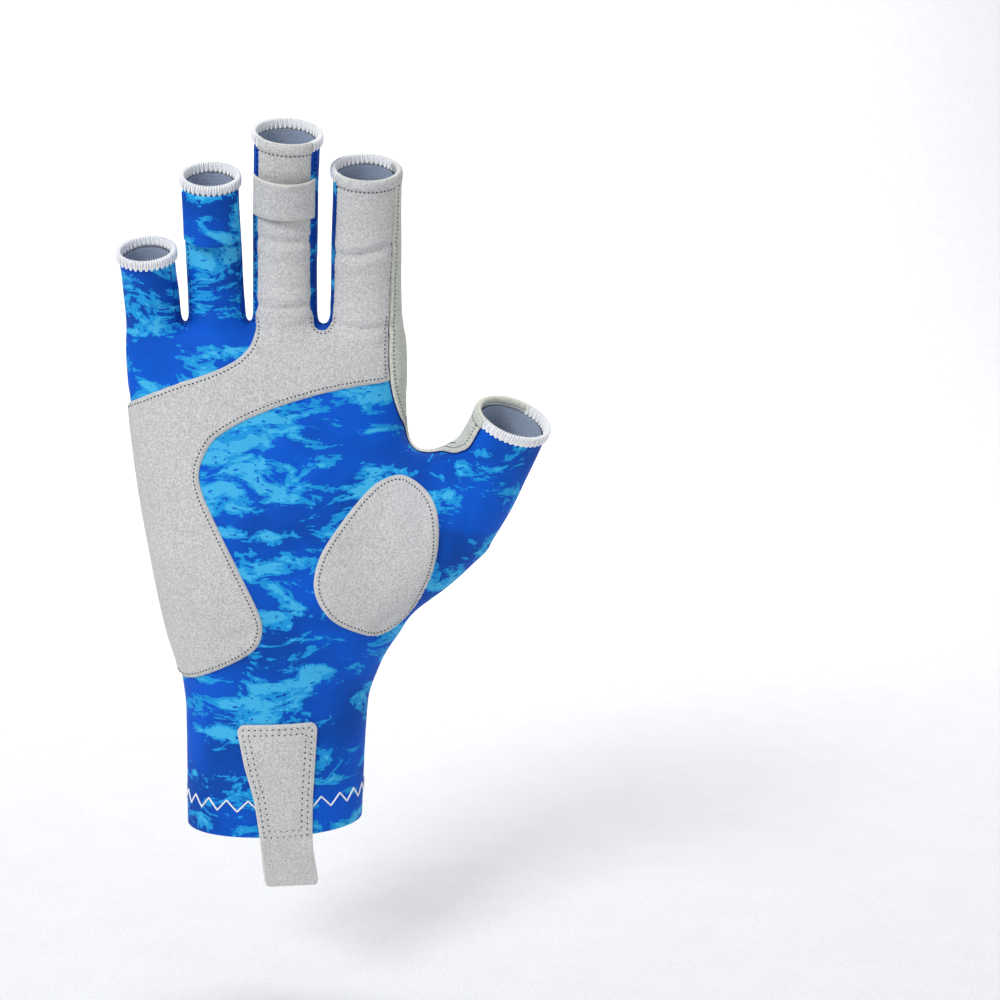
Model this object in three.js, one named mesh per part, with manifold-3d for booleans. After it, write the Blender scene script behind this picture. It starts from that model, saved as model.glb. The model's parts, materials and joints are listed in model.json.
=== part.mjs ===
// A right-hand fishing glove with short open fingers, shaped as it is when worn.
// The shell is cloth: a palm panel, a back panel and three side strips between the fingers.
// Over it lie the leather pieces: the palm patch, the thumb pad, the strip between the thumb and
// the index finger, a pull band on the middle finger and a pull tab at the cuff. The ring
// finger's pull band is cloth. Each open end has a hem, and the cuff's is folded to the inside.
// Millimetres, +Z up, the palm faces -Y and the thumb is on the +X side.
// The origin is the middle of the wrist opening, in the plane of the cuff's edge.

import * as THREE from 'three';
import Module from 'manifold-3d';

const wasm = await Module();
wasm.setup();
const { Manifold, Mesh } = wasm;

// Walls, and the gap that is left between pieces that touch.
const clothWall = 1.2;
const leatherWall = 1.0;
const seamGap = 0.3;

// The hand.
const wristWidth = 57;
const wristDepth = 42;
const knuckleWidth = 85;
const knuckleDepth = 30;
const palmLength = 161;       // cuff edge to the webs between the fingers
const fingerGap = 1.1;        // clear width between the roots of neighbouring fingers
const indexGap = 3.3;         // clear width between the roots of the middle and index fingers
const rootDepth = 17;         // how far below the webs a finger's tube starts
const knuckleUp = 0.94;       // share of palmLength at which the fingers are spread side by side

// Finger ends and the cuff.
const hemHeight = 2.4;
const hemStep = 0.35;         // how far a finger's hem stands out from the cloth, each side
const cuffHemHeight = 9;
const cuffHemWall = 1.0;

// Side strips and leather.
const stripWidth = 9;         // side strip between two fingers, front to back
const leatherBandHeight = 13; // pull band on the middle finger
const leatherBandDrop = 11;   // middle finger's end to the top of that band
const clothBandHeight = 16.5; // pull band on the ring finger, down from its hem
const bandSlack = 1.2;        // how far a pull band stands off the finger at its middle
const tabLength = 53;
const tabWidth = 25;
const tabHang = 16;           // how far the pull tab reaches below the cuff

// Leather and its borders are cut out of a layer over the whole shell, by rooms that reach past it.
const roomDepth = 60;         // front and back from the origin
const roomShare = 1.5;        // around a digit, in its half sizes
const leatherFrom = rootDepth / 2;

const palmSides = 28;
const fingerSides = 16;

// Sections of the hand tube from the cuff up. `up` is a share of palmLength. `left` and `right`
// are the half widths and `deep` the half depth, each as how far it has gone from the wrist's
// size, 0, to the knuckles', 1. `mid` is how far the middle lies behind the origin and `seam` how
// far the thumb-side seam does, as shares of half the knuckle depth. `square` is the power of
// the rounded section, where 2 is an ellipse.
const handSections = [
  { up: 0.0, left: 0.0, right: 0.0, deep: 0.0, mid: 0, seam: 0, square: 2.1 },
  { up: 0.24, left: -0.04, right: 0.18, deep: 0.12, mid: -0.03, seam: -0.03, square: 2.1 },
  { up: 0.32, left: 0.04, right: 0.48, deep: 0.18, mid: -0.13, seam: -0.2, square: 2.15 },
  { up: 0.4, left: 0.26, right: 0.95, deep: 0.14, mid: -0.25, seam: -0.5, square: 2.2 },
  { up: 0.49, left: 0.44, right: 1.18, deep: 0.18, mid: -0.37, seam: -0.72, square: 2.3 },
  { up: 0.58, left: 0.6, right: 1.22, deep: 0.3, mid: -0.41, seam: -0.8, square: 2.3 },
  { up: 0.67, left: 0.75, right: 1.2, deep: 0.58, mid: -0.43, seam: -0.8, square: 2.35 },
  { up: 0.76, left: 0.86, right: 1.06, deep: 0.9, mid: -0.45, seam: -0.7, square: 2.4 },
  { up: 0.86, left: 0.94, right: 1.03, deep: 1.25, mid: -0.5, seam: -0.52, square: 2.45 },
  { up: 0.94, left: 0.955, right: 1.03, deep: 1.62, mid: -0.545, seam: -0.545, square: 2.5 },
  { up: 0.985, left: 0.89, right: 0.97, deep: 2.05, mid: -0.57, seam: -0.57, square: 2.4 },
  { up: 1.0, left: 0.78, right: 0.85, deep: 2.55, mid: -0.58, seam: -0.58, square: 2.2 },
];

// How much a digit's width and depth change along it, as shares of its own sizes.
const fingerSections = [
  { along: 0.0, wide: 0.96, deep: 0.9 },
  { along: 0.28, wide: 1.0, deep: 1.04 },
  { along: 0.46, wide: 0.99, deep: 0.98 },
  { along: 0.64, wide: 1.0, deep: 1.01 },
  { along: 0.82, wide: 0.99, deep: 0.98 },
  { along: 1.0, wide: 1.0, deep: 1.0 },
];

const thumbSections = [
  { along: 0.0, wide: 1.0, deep: 1.1 },
  { along: 0.18, wide: 1.24, deep: 1.28 },
  { along: 0.4, wide: 1.31, deep: 1.3 },
  { along: 0.6, wide: 1.21, deep: 1.19 },
  { along: 0.8, wide: 1.06, deep: 1.05 },
  { along: 1.0, wide: 1.0, deep: 1.0 },
];

// The web of skin between the thumb and the palm.
const webSections = [
  { along: 0.0, wide: 1.9, deep: 1.0 },
  { along: 0.52, wide: 1.8, deep: 0.72 },
  { along: 0.66, wide: 1.46, deep: 0.86 },
  { along: 0.8, wide: 1.22, deep: 0.95 },
  { along: 1.0, wide: 1.08, deep: 0.85 },
];

// Fingers from the little one to the index. `width` is at the root and at the end. `length` runs
// from the tube's root inside the palm, `lean` turns towards the thumb and `curl` towards the
// palm side, both in degrees from root to end.
const fingers = [
  { name: 'little', width: [17.2, 16.6], depth: 15.6, length: 42.3, lean: [-2.5, -2.5], curl: [2, 30] },
  { name: 'ring', width: [18, 16.6], depth: 16.4, length: 65, lean: [-1.5, 0.5], curl: [2, 30] },
  { name: 'middle', width: [20.2, 19.6], depth: 18.2, length: 78, lean: [0, 3.5], curl: [2, 30] },
  { name: 'index', width: [22.4, 19.6], depth: 18.2, length: 67.5, lean: [0, 1], curl: [2, 30] },
];
const thumb = {
  name: 'thumb', width: [22, 22], depth: 20.5, length: 78,
  root: [34.8, -5, 77], lean: [50, 18], curl: [22, 28],
};
const web = {
  width: [26, 26], depth: 18, length: 46,
  root: [18, -3, 99], lean: [78, 78], curl: [23, 23],
};

// Borders of the leather on the fingers, across each one as shares of its half width, at its
// root and at its end.
const middleLeather = { left: [-0.79, -0.78], right: [0.77, 0.71] };
const indexLeather = { left: [-0.9, -0.82], right: [0.56, 0.8] };
const indexStrip = { front: [0.6, 0.84], back: [0.9, 0.86] };
const thumbStrip = { front: [-0.8, -0.8], back: [0.38, 0.42] };
const thumbStripFrom = { front: 0.6, back: 0.52 };  // shares of the thumb's length
const ringBandSides = { left: [-0.86, -0.86], right: [0.86, 0.86] };

// Outlines seen from the front. `across` is a share of half the knuckle width and `up` of
// palmLength. Each row of an outline is one stretch: two points are a straight line, and more
// are a curve.
const palmPatchOutline = [
  [{ across: -0.045, up: 1.03 }, { across: -0.06, up: 0.99 }, { across: -0.13, up: 0.953 },
    { across: -0.32, up: 0.921 }, { across: -0.64, up: 0.892 }, { across: -0.97, up: 0.858 }],
  [{ across: -0.97, up: 0.858 }, { across: -0.89, up: 0.684 }, { across: -0.79, up: 0.509 },
    { across: -0.7, up: 0.35 }, { across: -0.66, up: 0.317 }],
  [{ across: -0.66, up: 0.317 }, { across: -0.6, up: 0.314 }, { across: -0.37, up: 0.341 },
    { across: -0.14, up: 0.376 }, { across: -0.06, up: 0.405 }, { across: -0.06, up: 0.448 },
    { across: -0.18, up: 0.523 }, { across: -0.35, up: 0.621 }, { across: -0.46, up: 0.69 },
    { across: -0.475, up: 0.73 }, { across: -0.42, up: 0.768 }, { across: -0.32, up: 0.798 },
    { across: 0.0, up: 0.841 }, { across: 0.47, up: 0.877 }, { across: 0.87, up: 0.893 }],
  [{ across: 0.87, up: 0.893 }, { across: 0.86, up: 1.04 }],
  [{ across: 0.86, up: 1.04 }, { across: 0.48, up: 1.04 }],
  [{ across: 0.48, up: 1.04 }, { across: 0.45, up: 1.005 }, { across: 0.405, up: 0.993 },
    { across: 0.36, up: 1.005 }, { across: 0.34, up: 1.03 }],
  [{ across: 0.34, up: 1.03 }, { across: -0.045, up: 1.03 }],
];

const thumbPadOutline = [
  [{ across: 1.0, up: 0.716 }, { across: 1.15, up: 0.69 }, { across: 1.22, up: 0.645 },
    { across: 1.22, up: 0.571 }, { across: 1.15, up: 0.5 }, { across: 1.02, up: 0.437 },
    { across: 0.82, up: 0.397 }, { across: 0.64, up: 0.407 }, { across: 0.44, up: 0.44 },
    { across: 0.33, up: 0.497 }, { across: 0.37, up: 0.56 }, { across: 0.52, up: 0.622 },
    { across: 0.72, up: 0.684 }, { across: 0.86, up: 0.71 }, { across: 1.0, up: 0.716 }],
];

// The strip's edges below the index finger and round to the thumb, on the palm side and behind.
const stripFrontOutline = [
  [{ across: 0.9, up: 1.03 }, { across: 0.895, up: 0.95 }, { across: 0.91, up: 0.885 },
    { across: 0.965, up: 0.83 }, { across: 1.06, up: 0.783 }, { across: 1.15, up: 0.752 },
    { across: 1.24, up: 0.741 }, { across: 1.33, up: 0.753 }],
  [{ across: 1.33, up: 0.753 }, { across: 1.6, up: 0.9 }],
  [{ across: 1.6, up: 0.9 }, { across: 1.2, up: 1.03 }],
  [{ across: 1.2, up: 1.03 }, { across: 0.9, up: 1.03 }],
];

const stripBackOutline = [
  [{ across: 0.96, up: 1.03 }, { across: 0.97, up: 0.9 }, { across: 0.98, up: 0.79 },
    { across: 1.0, up: 0.72 }, { across: 1.05, up: 0.685 }, { across: 1.15, up: 0.658 },
    { across: 1.27, up: 0.65 }, { across: 1.4, up: 0.662 }, { across: 1.5, up: 0.675 }],
  [{ across: 1.5, up: 0.675 }, { across: 1.62, up: 0.9 }],
  [{ across: 1.62, up: 0.9 }, { across: 1.2, up: 1.03 }],
  [{ across: 1.2, up: 1.03 }, { across: 0.96, up: 1.03 }],
];

// The pull tab from its top down. `down` is a share of tabLength, `centre` and `wide` are shares
// of tabWidth.
const tabSections = [
  { down: 0.0, centre: 0.07, wide: 0.86 },
  { down: 0.04, centre: 0.07, wide: 1.0 },
  { down: 0.25, centre: 0.09, wide: 0.89 },
  { down: 0.46, centre: 0.13, wide: 0.74 },
  { down: 0.66, centre: 0.15, wide: 0.67 },
  { down: 0.78, centre: 0.165, wide: 0.66 },
  { down: 0.965, centre: 0.21, wide: 0.68 },
  { down: 1.0, centre: 0.215, wide: 0.6 },
];

const radians = THREE.MathUtils.degToRad;
const { lerp, clamp } = THREE.MathUtils;
const halfDepth = knuckleDepth / 2;

// Solids from meshes.

function toSolid(points, faces) {
  return new Manifold(new Mesh({
    numProp: 3,
    vertProperties: new Float32Array(points.flatMap((point) => point.toArray())),
    triVerts: new Uint32Array(faces.flat()),
  }));
}

// A closed solid through convex rings of equally many points, with a flat fan on each end.
function loft(rings) {
  const sides = rings[0].length;
  const faces = [];
  for (let row = 0; row < rings.length - 1; row += 1) {
    for (let side = 0; side < sides; side += 1) {
      const next = (side + 1) % sides;
      const a = row * sides + side;
      const b = row * sides + next;
      faces.push([a, b, b + sides], [a, b + sides, a + sides]);
    }
  }
  const last = (rings.length - 1) * sides;
  for (let side = 1; side < sides - 1; side += 1) {
    faces.push([0, side + 1, side]);
    faces.push([last, last + side, last + side + 1]);
  }
  return toSolid(rings.flat(), faces);
}

// A closed sheet between two grids of points. Seen from the `face` side, rows run up and
// columns run to the right.
function sheet(face, lining) {
  const rows = face.length;
  const columns = face[0].length;
  const at = (row, column, under) => row * columns + column + (under ? rows * columns : 0);
  const faces = [];
  const quad = (...corners) => {
    const [a, b, c, d] = corners.map((corner) => at(...corner));
    faces.push([a, b, c], [a, c, d]);
  };
  const top = rows - 1;
  const right = columns - 1;
  for (let row = 0; row < top; row += 1) {
    const up = row + 1;
    for (let column = 0; column < right; column += 1) {
      const next = column + 1;
      quad([row, column], [row, next], [up, next], [up, column]);
      quad([up, column, 1], [up, next, 1], [row, next, 1], [row, column, 1]);
    }
    quad([row, 0, 1], [row, 0], [up, 0], [up, 0, 1]);
    quad([row, right], [row, right, 1], [up, right, 1], [up, right]);
  }
  for (let column = 0; column < right; column += 1) {
    const next = column + 1;
    quad([0, column, 1], [0, next, 1], [0, next], [0, column]);
    quad([top, column], [top, next], [top, next, 1], [top, column, 1]);
  }
  return toSolid([...face.flat(), ...lining.flat()], faces);
}

// A closed wall between rows of outer rings and rows of inner rings, open at both ends.
function sleeve(outer, inner) {
  const sides = outer[0].length;
  const loop = [...outer, ...[...inner].reverse()];
  const faces = [];
  for (let row = 0; row < loop.length; row += 1) {
    const nextRow = (row + 1) % loop.length;
    for (let side = 0; side < sides; side += 1) {
      const next = (side + 1) % sides;
      const a = row * sides + side;
      const b = row * sides + next;
      const c = nextRow * sides + next;
      const d = nextRow * sides + side;
      faces.push([a, b, c], [a, c, d]);
    }
  }
  return toSolid(loop.flat(), faces);
}

// The one body that counts, without the crumbs that a cut along a surface can leave.
function largest(solid) {
  return solid.decompose().reduce((best, body) => (body.volume() > best.volume() ? body : best));
}

function union(solids) {
  return solids.reduce((sum, solid) => sum.add(solid));
}

function power(value, exponent) {
  return Math.sign(value) * Math.abs(value) ** exponent;
}

// Reads a table of sections at any place, in a straight line between its rows.
function readTable(table, key, place) {
  const after = table.findIndex((row) => row[key] >= place);
  if (after <= 0) return table[after === 0 ? 0 : table.length - 1];
  const low = table[after - 1];
  const high = table[after];
  const share = (place - low[key]) / (high[key] - low[key]);
  return Object.fromEntries(Object.keys(low).map((name) => [name, lerp(low[name], high[name], share)]));
}

// An outline of the front view, drawn out from one depth to another.
function prism(outline, fromY, toY) {
  const curveSteps = 2;
  const place = ({ across, up }) => new THREE.Vector3((across * knuckleWidth) / 2, up * palmLength, 0);
  const stretches = outline.map((stretch) => {
    const steps = stretch.length > 2 ? (stretch.length - 1) * curveSteps : 1;
    const curve = new THREE.CatmullRomCurve3(stretch.map(place));
    return curve.getPoints(steps).slice(0, -1);
  });
  const flat = stretches.flat().map((point) => new THREE.Vector2(point.x, point.y));
  if (THREE.ShapeUtils.isClockWise(flat)) flat.reverse();
  const caps = THREE.ShapeUtils.triangulateShape(flat, []);
  const count = flat.length;
  const points = [fromY, toY].flatMap((y) => flat.map((point) => new THREE.Vector3(point.x, y, point.y)));
  const faces = [...caps, ...caps.map(([a, b, c]) => [c + count, b + count, a + count])];
  for (let side = 0; side < count; side += 1) {
    const next = (side + 1) % count;
    faces.push([side, side + count, next + count], [side, next + count, next]);
  }
  return toSolid(points, faces);
}

// The hand tube.

function handSize(section) {
  return {
    left: lerp(wristWidth, knuckleWidth, section.left) / 2,
    right: lerp(wristWidth, knuckleWidth, section.right) / 2,
    deep: lerp(wristDepth, knuckleDepth, section.deep) / 2,
    mid: section.mid * halfDepth,
  };
}

function handRing(section, grow, rise) {
  const size = handSize(section);
  const points = [];
  for (let side = 0; side < palmSides; side += 1) {
    const angle = (side / palmSides) * 2 * Math.PI;
    const across = power(Math.cos(angle), 2 / section.square);
    const deep = power(Math.sin(angle), 2 / section.square);
    const x = across * ((across > 0 ? size.right : size.left) + grow);
    const y = size.mid + deep * (size.deep + grow);
    points.push(new THREE.Vector3(x, y, section.up * palmLength + rise));
  }
  return points;
}

// The hand tube grown by `grow`, its rounded top too, and carried on by `past` below the cuff.
function handSolid(grow, past = 0) {
  const rise = (section) => (section.up >= knuckleUp ? grow : 0);
  const rings = handSections.map((section) => handRing(section, grow, rise(section)));
  return loft(past ? [handRing(handSections[0], grow, -past), ...rings] : rings);
}

// The palm side's surface at a place on the hand tube.
function handFront(x, z) {
  const section = readTable(handSections, 'up', clamp(z / palmLength, 0, 1));
  const size = handSize(section);
  const across = Math.abs(x) / (x > 0 ? size.right : size.left);
  return size.mid - size.deep * (1 - across ** section.square) ** (1 / section.square);
}

// Digits: a path that leans and curls, with a frame at each place on it.

function layOutFingers() {
  const gaps = [fingerGap, fingerGap, indexGap, 0];
  const palmTop = handSize(readTable(handSections, 'up', knuckleUp));
  const reach = fingers.reduce((sum, finger, i) => sum + finger.width[0] + gaps[i], 0);
  let side = (palmTop.right - palmTop.left - reach) / 2;
  return fingers.map((finger, i) => {
    const x = side + finger.width[0] / 2;
    side += finger.width[0] + gaps[i];
    return { ...finger, x };
  });
}

function makePath(digit) {
  const steps = 24;
  const here = new THREE.Vector3(...digit.root);
  const stations = [];
  for (let i = 0; i <= steps; i += 1) {
    const lean = radians(lerp(...digit.lean, i / steps));
    const curl = radians(lerp(...digit.curl, i / steps));
    const along = new THREE.Vector3(
      Math.sin(lean) * Math.cos(curl), -Math.sin(curl), Math.cos(lean) * Math.cos(curl));
    const across = new THREE.Vector3(Math.cos(lean), 0, -Math.sin(lean));
    stations.push({ at: here.clone(), along, across });
    here.addScaledVector(along, digit.length / steps);
  }
  return { ...digit, stations };
}

function clothEnd(digit) {
  return digit.length - hemHeight - seamGap;
}

// The frame at a length along the digit, carried straight on past both ends.
function frameAt(digit, length) {
  const last = digit.stations.length - 1;
  const place = clamp((length / digit.length) * last, 0, last);
  const step = Math.min(Math.floor(place), last - 1);
  const low = digit.stations[step];
  const high = digit.stations[step + 1];
  const mix = (key) => low[key].clone().lerp(high[key], place - step);
  const frame = { at: mix('at'), along: mix('along').normalize(), across: mix('across').normalize() };
  frame.back = new THREE.Vector3().crossVectors(frame.along, frame.across);
  frame.at.addScaledVector(frame.along, length - clamp(length, 0, digit.length));
  return frame;
}

function digitPoint(frame, across, back) {
  return frame.at.clone().addScaledVector(frame.across, across).addScaledVector(frame.back, back);
}

function halfSizes(digit, length) {
  const share = clamp(length / digit.length, 0, 1);
  const section = readTable(digit.table, 'along', share);
  const width = lerp(...digit.width, share);
  return { wide: (width * section.wide) / 2, deep: (digit.depth * section.deep) / 2, share };
}

function digitRing(digit, length, grow) {
  const frame = frameAt(digit, length);
  const half = halfSizes(digit, length);
  const points = [];
  for (let side = 0; side < fingerSides; side += 1) {
    const angle = (side / fingerSides) * 2 * Math.PI;
    const across = Math.cos(angle) * (half.wide + grow);
    points.push(digitPoint(frame, across, Math.sin(angle) * (half.deep + grow)));
  }
  return points;
}

// The lengths of a digit's sections between two lengths, with both of these.
function digitRows(digit, from, to) {
  const apart = 1;
  const rows = digit.table.map((row) => row.along * digit.length);
  return [from, ...rows.filter((at) => at > from + apart && at < to - apart), to];
}

// A digit's tube between two lengths, grown by `grow`.
function digitSolid(digit, grow, from, to) {
  return loft(digitRows(digit, from, to).map((at) => digitRing(digit, at, grow)));
}

// A block that follows a digit's path. `across` and `back` give its low and high limits there.
function digitBlock(digit, from, to, across, back) {
  return loft(digitRows(digit, from, to).map((at) => {
    const frame = frameAt(digit, at);
    const half = halfSizes(digit, at);
    const [left, right] = across(half);
    const [front, rear] = back(half);
    return [
      digitPoint(frame, left, front), digitPoint(frame, right, front),
      digitPoint(frame, right, rear), digitPoint(frame, left, rear),
    ];
  }));
}

const fingerRoot = palmLength - rootDepth;
const rootBack = readTable(handSections, 'up', fingerRoot / palmLength).mid * halfDepth;
const placedFingers = layOutFingers().map((finger) => makePath({
  ...finger, table: fingerSections, root: [finger.x, rootBack, fingerRoot],
}));
const [little, ring, middle, index] = placedFingers;
const thumbStall = makePath({ ...thumb, table: thumbSections });
const thumbWeb = makePath({ ...web, table: webSections });
const digits = [...placedFingers, thumbStall];

// The whole hand grown by `grow`, up to where the hems start and `past` further at every end.
function form(grow, past = 0) {
  const stalls = digits.map((digit) => digitSolid(digit, grow, -past, clothEnd(digit) + past));
  return union([handSolid(grow, past), digitSolid(thumbWeb, grow, 0, web.length), ...stalls]);
}

// What the hand fills inside the cloth, carried on through every open end.
function hollow(inset) {
  const past = hemHeight + 2 * seamGap;
  const stalls = digits.map((digit) => digitSolid(digit, -inset, inset, digit.length + past));
  const webRoom = digitSolid(thumbWeb, -inset, inset, web.length - inset);
  return union([handSolid(-inset, past), webRoom, ...stalls]);
}

// The room in front of the glove's side seams, moved back by `shift`. On the palm's thumb side
// it bends from the middle of the depth to the thumb's seam at `bend` of the half width.
function frontHalf(shift) {
  const beside = 2;
  const besideThumb = 6;
  const beyond = 5;
  const bend = 0.55;
  const palmRings = handSections.map((section) => {
    const size = handSize(section);
    const z = section.up * palmLength;
    const rightEdge = size.right + beside;
    const seam = section.seam * halfDepth;
    return [
      [-size.left - beside, -roomDepth], [rightEdge, -roomDepth], [rightEdge, seam + shift],
      [size.right * bend, size.mid + shift], [-size.left - beside, size.mid + shift],
    ].map(([x, y]) => new THREE.Vector3(x, y, z));
  });
  const cuff = palmRings[0].map((point) => point.clone().setZ(-beyond));
  const stallRoom = (digit, wider) => digitBlock(digit, 1, digit.length + beyond,
    ({ wide }) => [-wide - wider, wide + wider],
    () => [-roomDepth / 2, shift]);
  const fingerRooms = placedFingers.map((finger) => stallRoom(finger, beside));
  const thumbRooms = [thumbStall, thumbWeb].map((digit) => stallRoom(digit, besideThumb));
  return union([loft([cuff, ...palmRings]), ...fingerRooms, ...thumbRooms]);
}

// The room of the side strip between two fingers, `grow` wider to the front and back.
function stripRoom(left, right, gap, grow) {
  const from = rootDepth - stripWidth;
  const reach = gap / 2 + hemStep;
  const depth = () => [-stripWidth / 2 - grow, stripWidth / 2 + grow];
  return union([
    digitBlock(left, from, left.length, ({ wide }) => [0, wide + reach], depth),
    digitBlock(right, from, right.length, ({ wide }) => [-wide - reach, 0], depth),
  ]);
}

// A band over a digit's palm side, from one length to another. It lies `under` above the cloth
// at its sides and stands off by bandSlack at its middle, fully at the lower edge or the upper.
function pullBand(digit, from, to, sides, under, wall, loose) {
  const columns = 8;
  const rows = 2;
  const grid = (extra) => Array.from({ length: rows + 1 }, (_, row) => {
    const at = lerp(from, to, row / rows);
    const frame = frameAt(digit, at);
    const half = halfSizes(digit, at);
    const start = -Math.PI + Math.acos(-lerp(...sides.left, half.share));
    const end = -Math.acos(lerp(...sides.right, half.share));
    return Array.from({ length: columns + 1 }, (__, column) => {
      const turn = lerp(start, end, column / columns);
      const slack = bandSlack * Math.sin((Math.PI * column) / columns) * lerp(...loose, row / rows);
      const grow = under + slack + extra;
      return digitPoint(frame, Math.cos(turn) * (half.wide + grow), Math.sin(turn) * (half.deep + grow));
    });
  });
  return sheet(grid(wall), grid(0));
}

// The pull tab: it lies on the cuff's palm side and hangs flat below it.
function pullTab() {
  const columns = 6;
  const flatFrom = 3;
  const top = tabLength - tabHang;
  const place = (section, column, extra) => {
    const z = top - section.down * tabLength;
    const x = tabWidth * (section.centre + section.wide * (column / columns - 0.5));
    const flat = handFront(0, 0);
    const y = z < -flatFrom ? flat : handFront(x, Math.max(z, 0));
    return new THREE.Vector3(x, y - seamGap - extra, z);
  };
  const grid = (extra) => [...tabSections].reverse().map((section) => (
    Array.from({ length: columns + 1 }, (_, column) => place(section, column, extra))));
  return sheet(grid(leatherWall), grid(0));
}

function hem(digit) {
  const rows = [digit.length - hemHeight, digit.length];
  const rings = (grow) => rows.map((at) => digitRing(digit, at, grow));
  return sleeve(rings(hemStep), rings(-clothWall - hemStep));
}

function cuffHem() {
  const rings = (inset) => [0, cuffHemHeight].map((z) => (
    handRing(readTable(handSections, 'up', z / palmLength), -inset, 0)));
  const outer = clothWall + seamGap;
  return sleeve(rings(outer), rings(outer + cuffHemWall));
}

// The pieces.

const shell = form(0).subtract(hollow(clothWall));
const layer = form(seamGap + leatherWall).subtract(form(seamGap, leatherWall));
const front = frontHalf(-leatherWall);
const stripPairs = [[little, ring, fingerGap], [ring, middle, fingerGap], [middle, index, indexGap]];
const stripCuts = union(stripPairs.map((pair) => stripRoom(...pair, seamGap)));

function fingerLeather(digit, sides) {
  return digitBlock(digit, leatherFrom, digit.length,
    ({ wide, share }) => [wide * lerp(...sides.left, share), wide * lerp(...sides.right, share)],
    ({ deep }) => [-deep * roomShare, 0]);
}

const palmPatchRoom = union([
  prism(palmPatchOutline, -roomDepth, 0),
  fingerLeather(middle, middleLeather),
  fingerLeather(index, indexLeather),
]);

const stripFrontRoom = union([
  prism(stripFrontOutline, -roomDepth, 0),
  digitBlock(index, leatherFrom, index.length,
    ({ wide, share }) => [wide * lerp(...indexStrip.front, share), wide * roomShare],
    ({ deep }) => [-deep * roomShare, 0]),
  digitBlock(thumbStall, thumb.length * thumbStripFrom.front, thumb.length,
    ({ wide, share }) => [-wide * roomShare, wide * lerp(...thumbStrip.front, share)],
    ({ deep }) => [-deep * roomShare, 0]),
]);

const stripBackRoom = union([
  prism(stripBackOutline, -roomDepth, roomDepth),
  digitBlock(index, leatherFrom, index.length,
    ({ wide, share }) => [wide * lerp(...indexStrip.back, share), wide * roomShare],
    ({ deep }) => [-deep, deep * roomShare]),
  digitBlock(thumbStall, thumb.length * thumbStripFrom.back, thumb.length,
    ({ wide, share }) => [-wide * roomShare, wide * lerp(...thumbStrip.back, share)],
    ({ deep }) => [-deep, deep * roomShare]),
]);

const group = new THREE.Group();
const finishes = {
  cloth: { color: 0x0a50d2, roughness: 0.75, metalness: 0 },
  leather: { color: 0xc4c5c3, roughness: 0.9, metalness: 0 },
  binding: { color: 0xe6e7e8, roughness: 0.85, metalness: 0 },
};

function addPiece(name, solid, finish) {
  const mesh = largest(solid).getMesh();
  const geometry = new THREE.BufferGeometry();
  geometry.setAttribute('position', new THREE.Float32BufferAttribute(mesh.vertProperties, 3));
  geometry.setIndex(Array.from(mesh.triVerts));
  geometry.computeVertexNormals();
  const piece = new THREE.Mesh(geometry, new THREE.MeshStandardMaterial(finishes[finish]));
  piece.name = name;
  group.add(piece);
}

addPiece('palm_panel', shell.intersect(frontHalf(-seamGap / 2)).subtract(stripCuts), 'cloth');
addPiece('back_panel', shell.subtract(frontHalf(seamGap / 2)).subtract(stripCuts), 'cloth');
for (const [left, right, gap] of stripPairs) {
  const name = `side_strip_${left.name}_${right.name}`;
  addPiece(name, shell.intersect(stripRoom(left, right, gap, 0)), 'cloth');
}
addPiece('palm_patch', layer.intersect(palmPatchRoom).intersect(front), 'leather');
const thumbPadRoom = prism(thumbPadOutline, -roomDepth, 0);
addPiece('thumb_pad', layer.intersect(thumbPadRoom).intersect(front), 'leather');
const thumbStripFront = layer.intersect(stripFrontRoom).intersect(frontHalf(leatherWall));
const thumbStripBack = layer.intersect(stripBackRoom).subtract(front);
addPiece('thumb_index_strip', thumbStripFront.add(thumbStripBack), 'leather');

const overLeather = 2 * seamGap + leatherWall;
const leatherBandTop = middle.length - leatherBandDrop;
addPiece('middle_pull_band', pullBand(middle, leatherBandTop - leatherBandHeight, leatherBandTop,
  middleLeather, overLeather, leatherWall, [0.4, 1]), 'leather');
const clothBandTop = clothEnd(ring);
addPiece('ring_pull_band', pullBand(ring, clothBandTop - clothBandHeight, clothBandTop,
  ringBandSides, seamGap, clothWall, [1, 0.2]), 'cloth');
addPiece('pull_tab', pullTab(), 'leather');
addPiece('cuff_hem', cuffHem(), 'cloth');
for (const digit of digits) {
  addPiece(`hem_${digit.name}`, hem(digit), 'binding');
}

export default group;
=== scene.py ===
# The dressed model of a fishing glove, laid over its CAD frame.
# The hand's form is worked out once as a distance field, from the same tables as the CAD, and
# the cloth shell, the lining and the leather pieces are all cut from its surface.
# Tables and working geometry are in millimetres; meshes are written in metres.

import json
import math
from functools import cache

import bpy
import numpy as np
import openvdb
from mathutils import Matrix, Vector, kdtree

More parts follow.
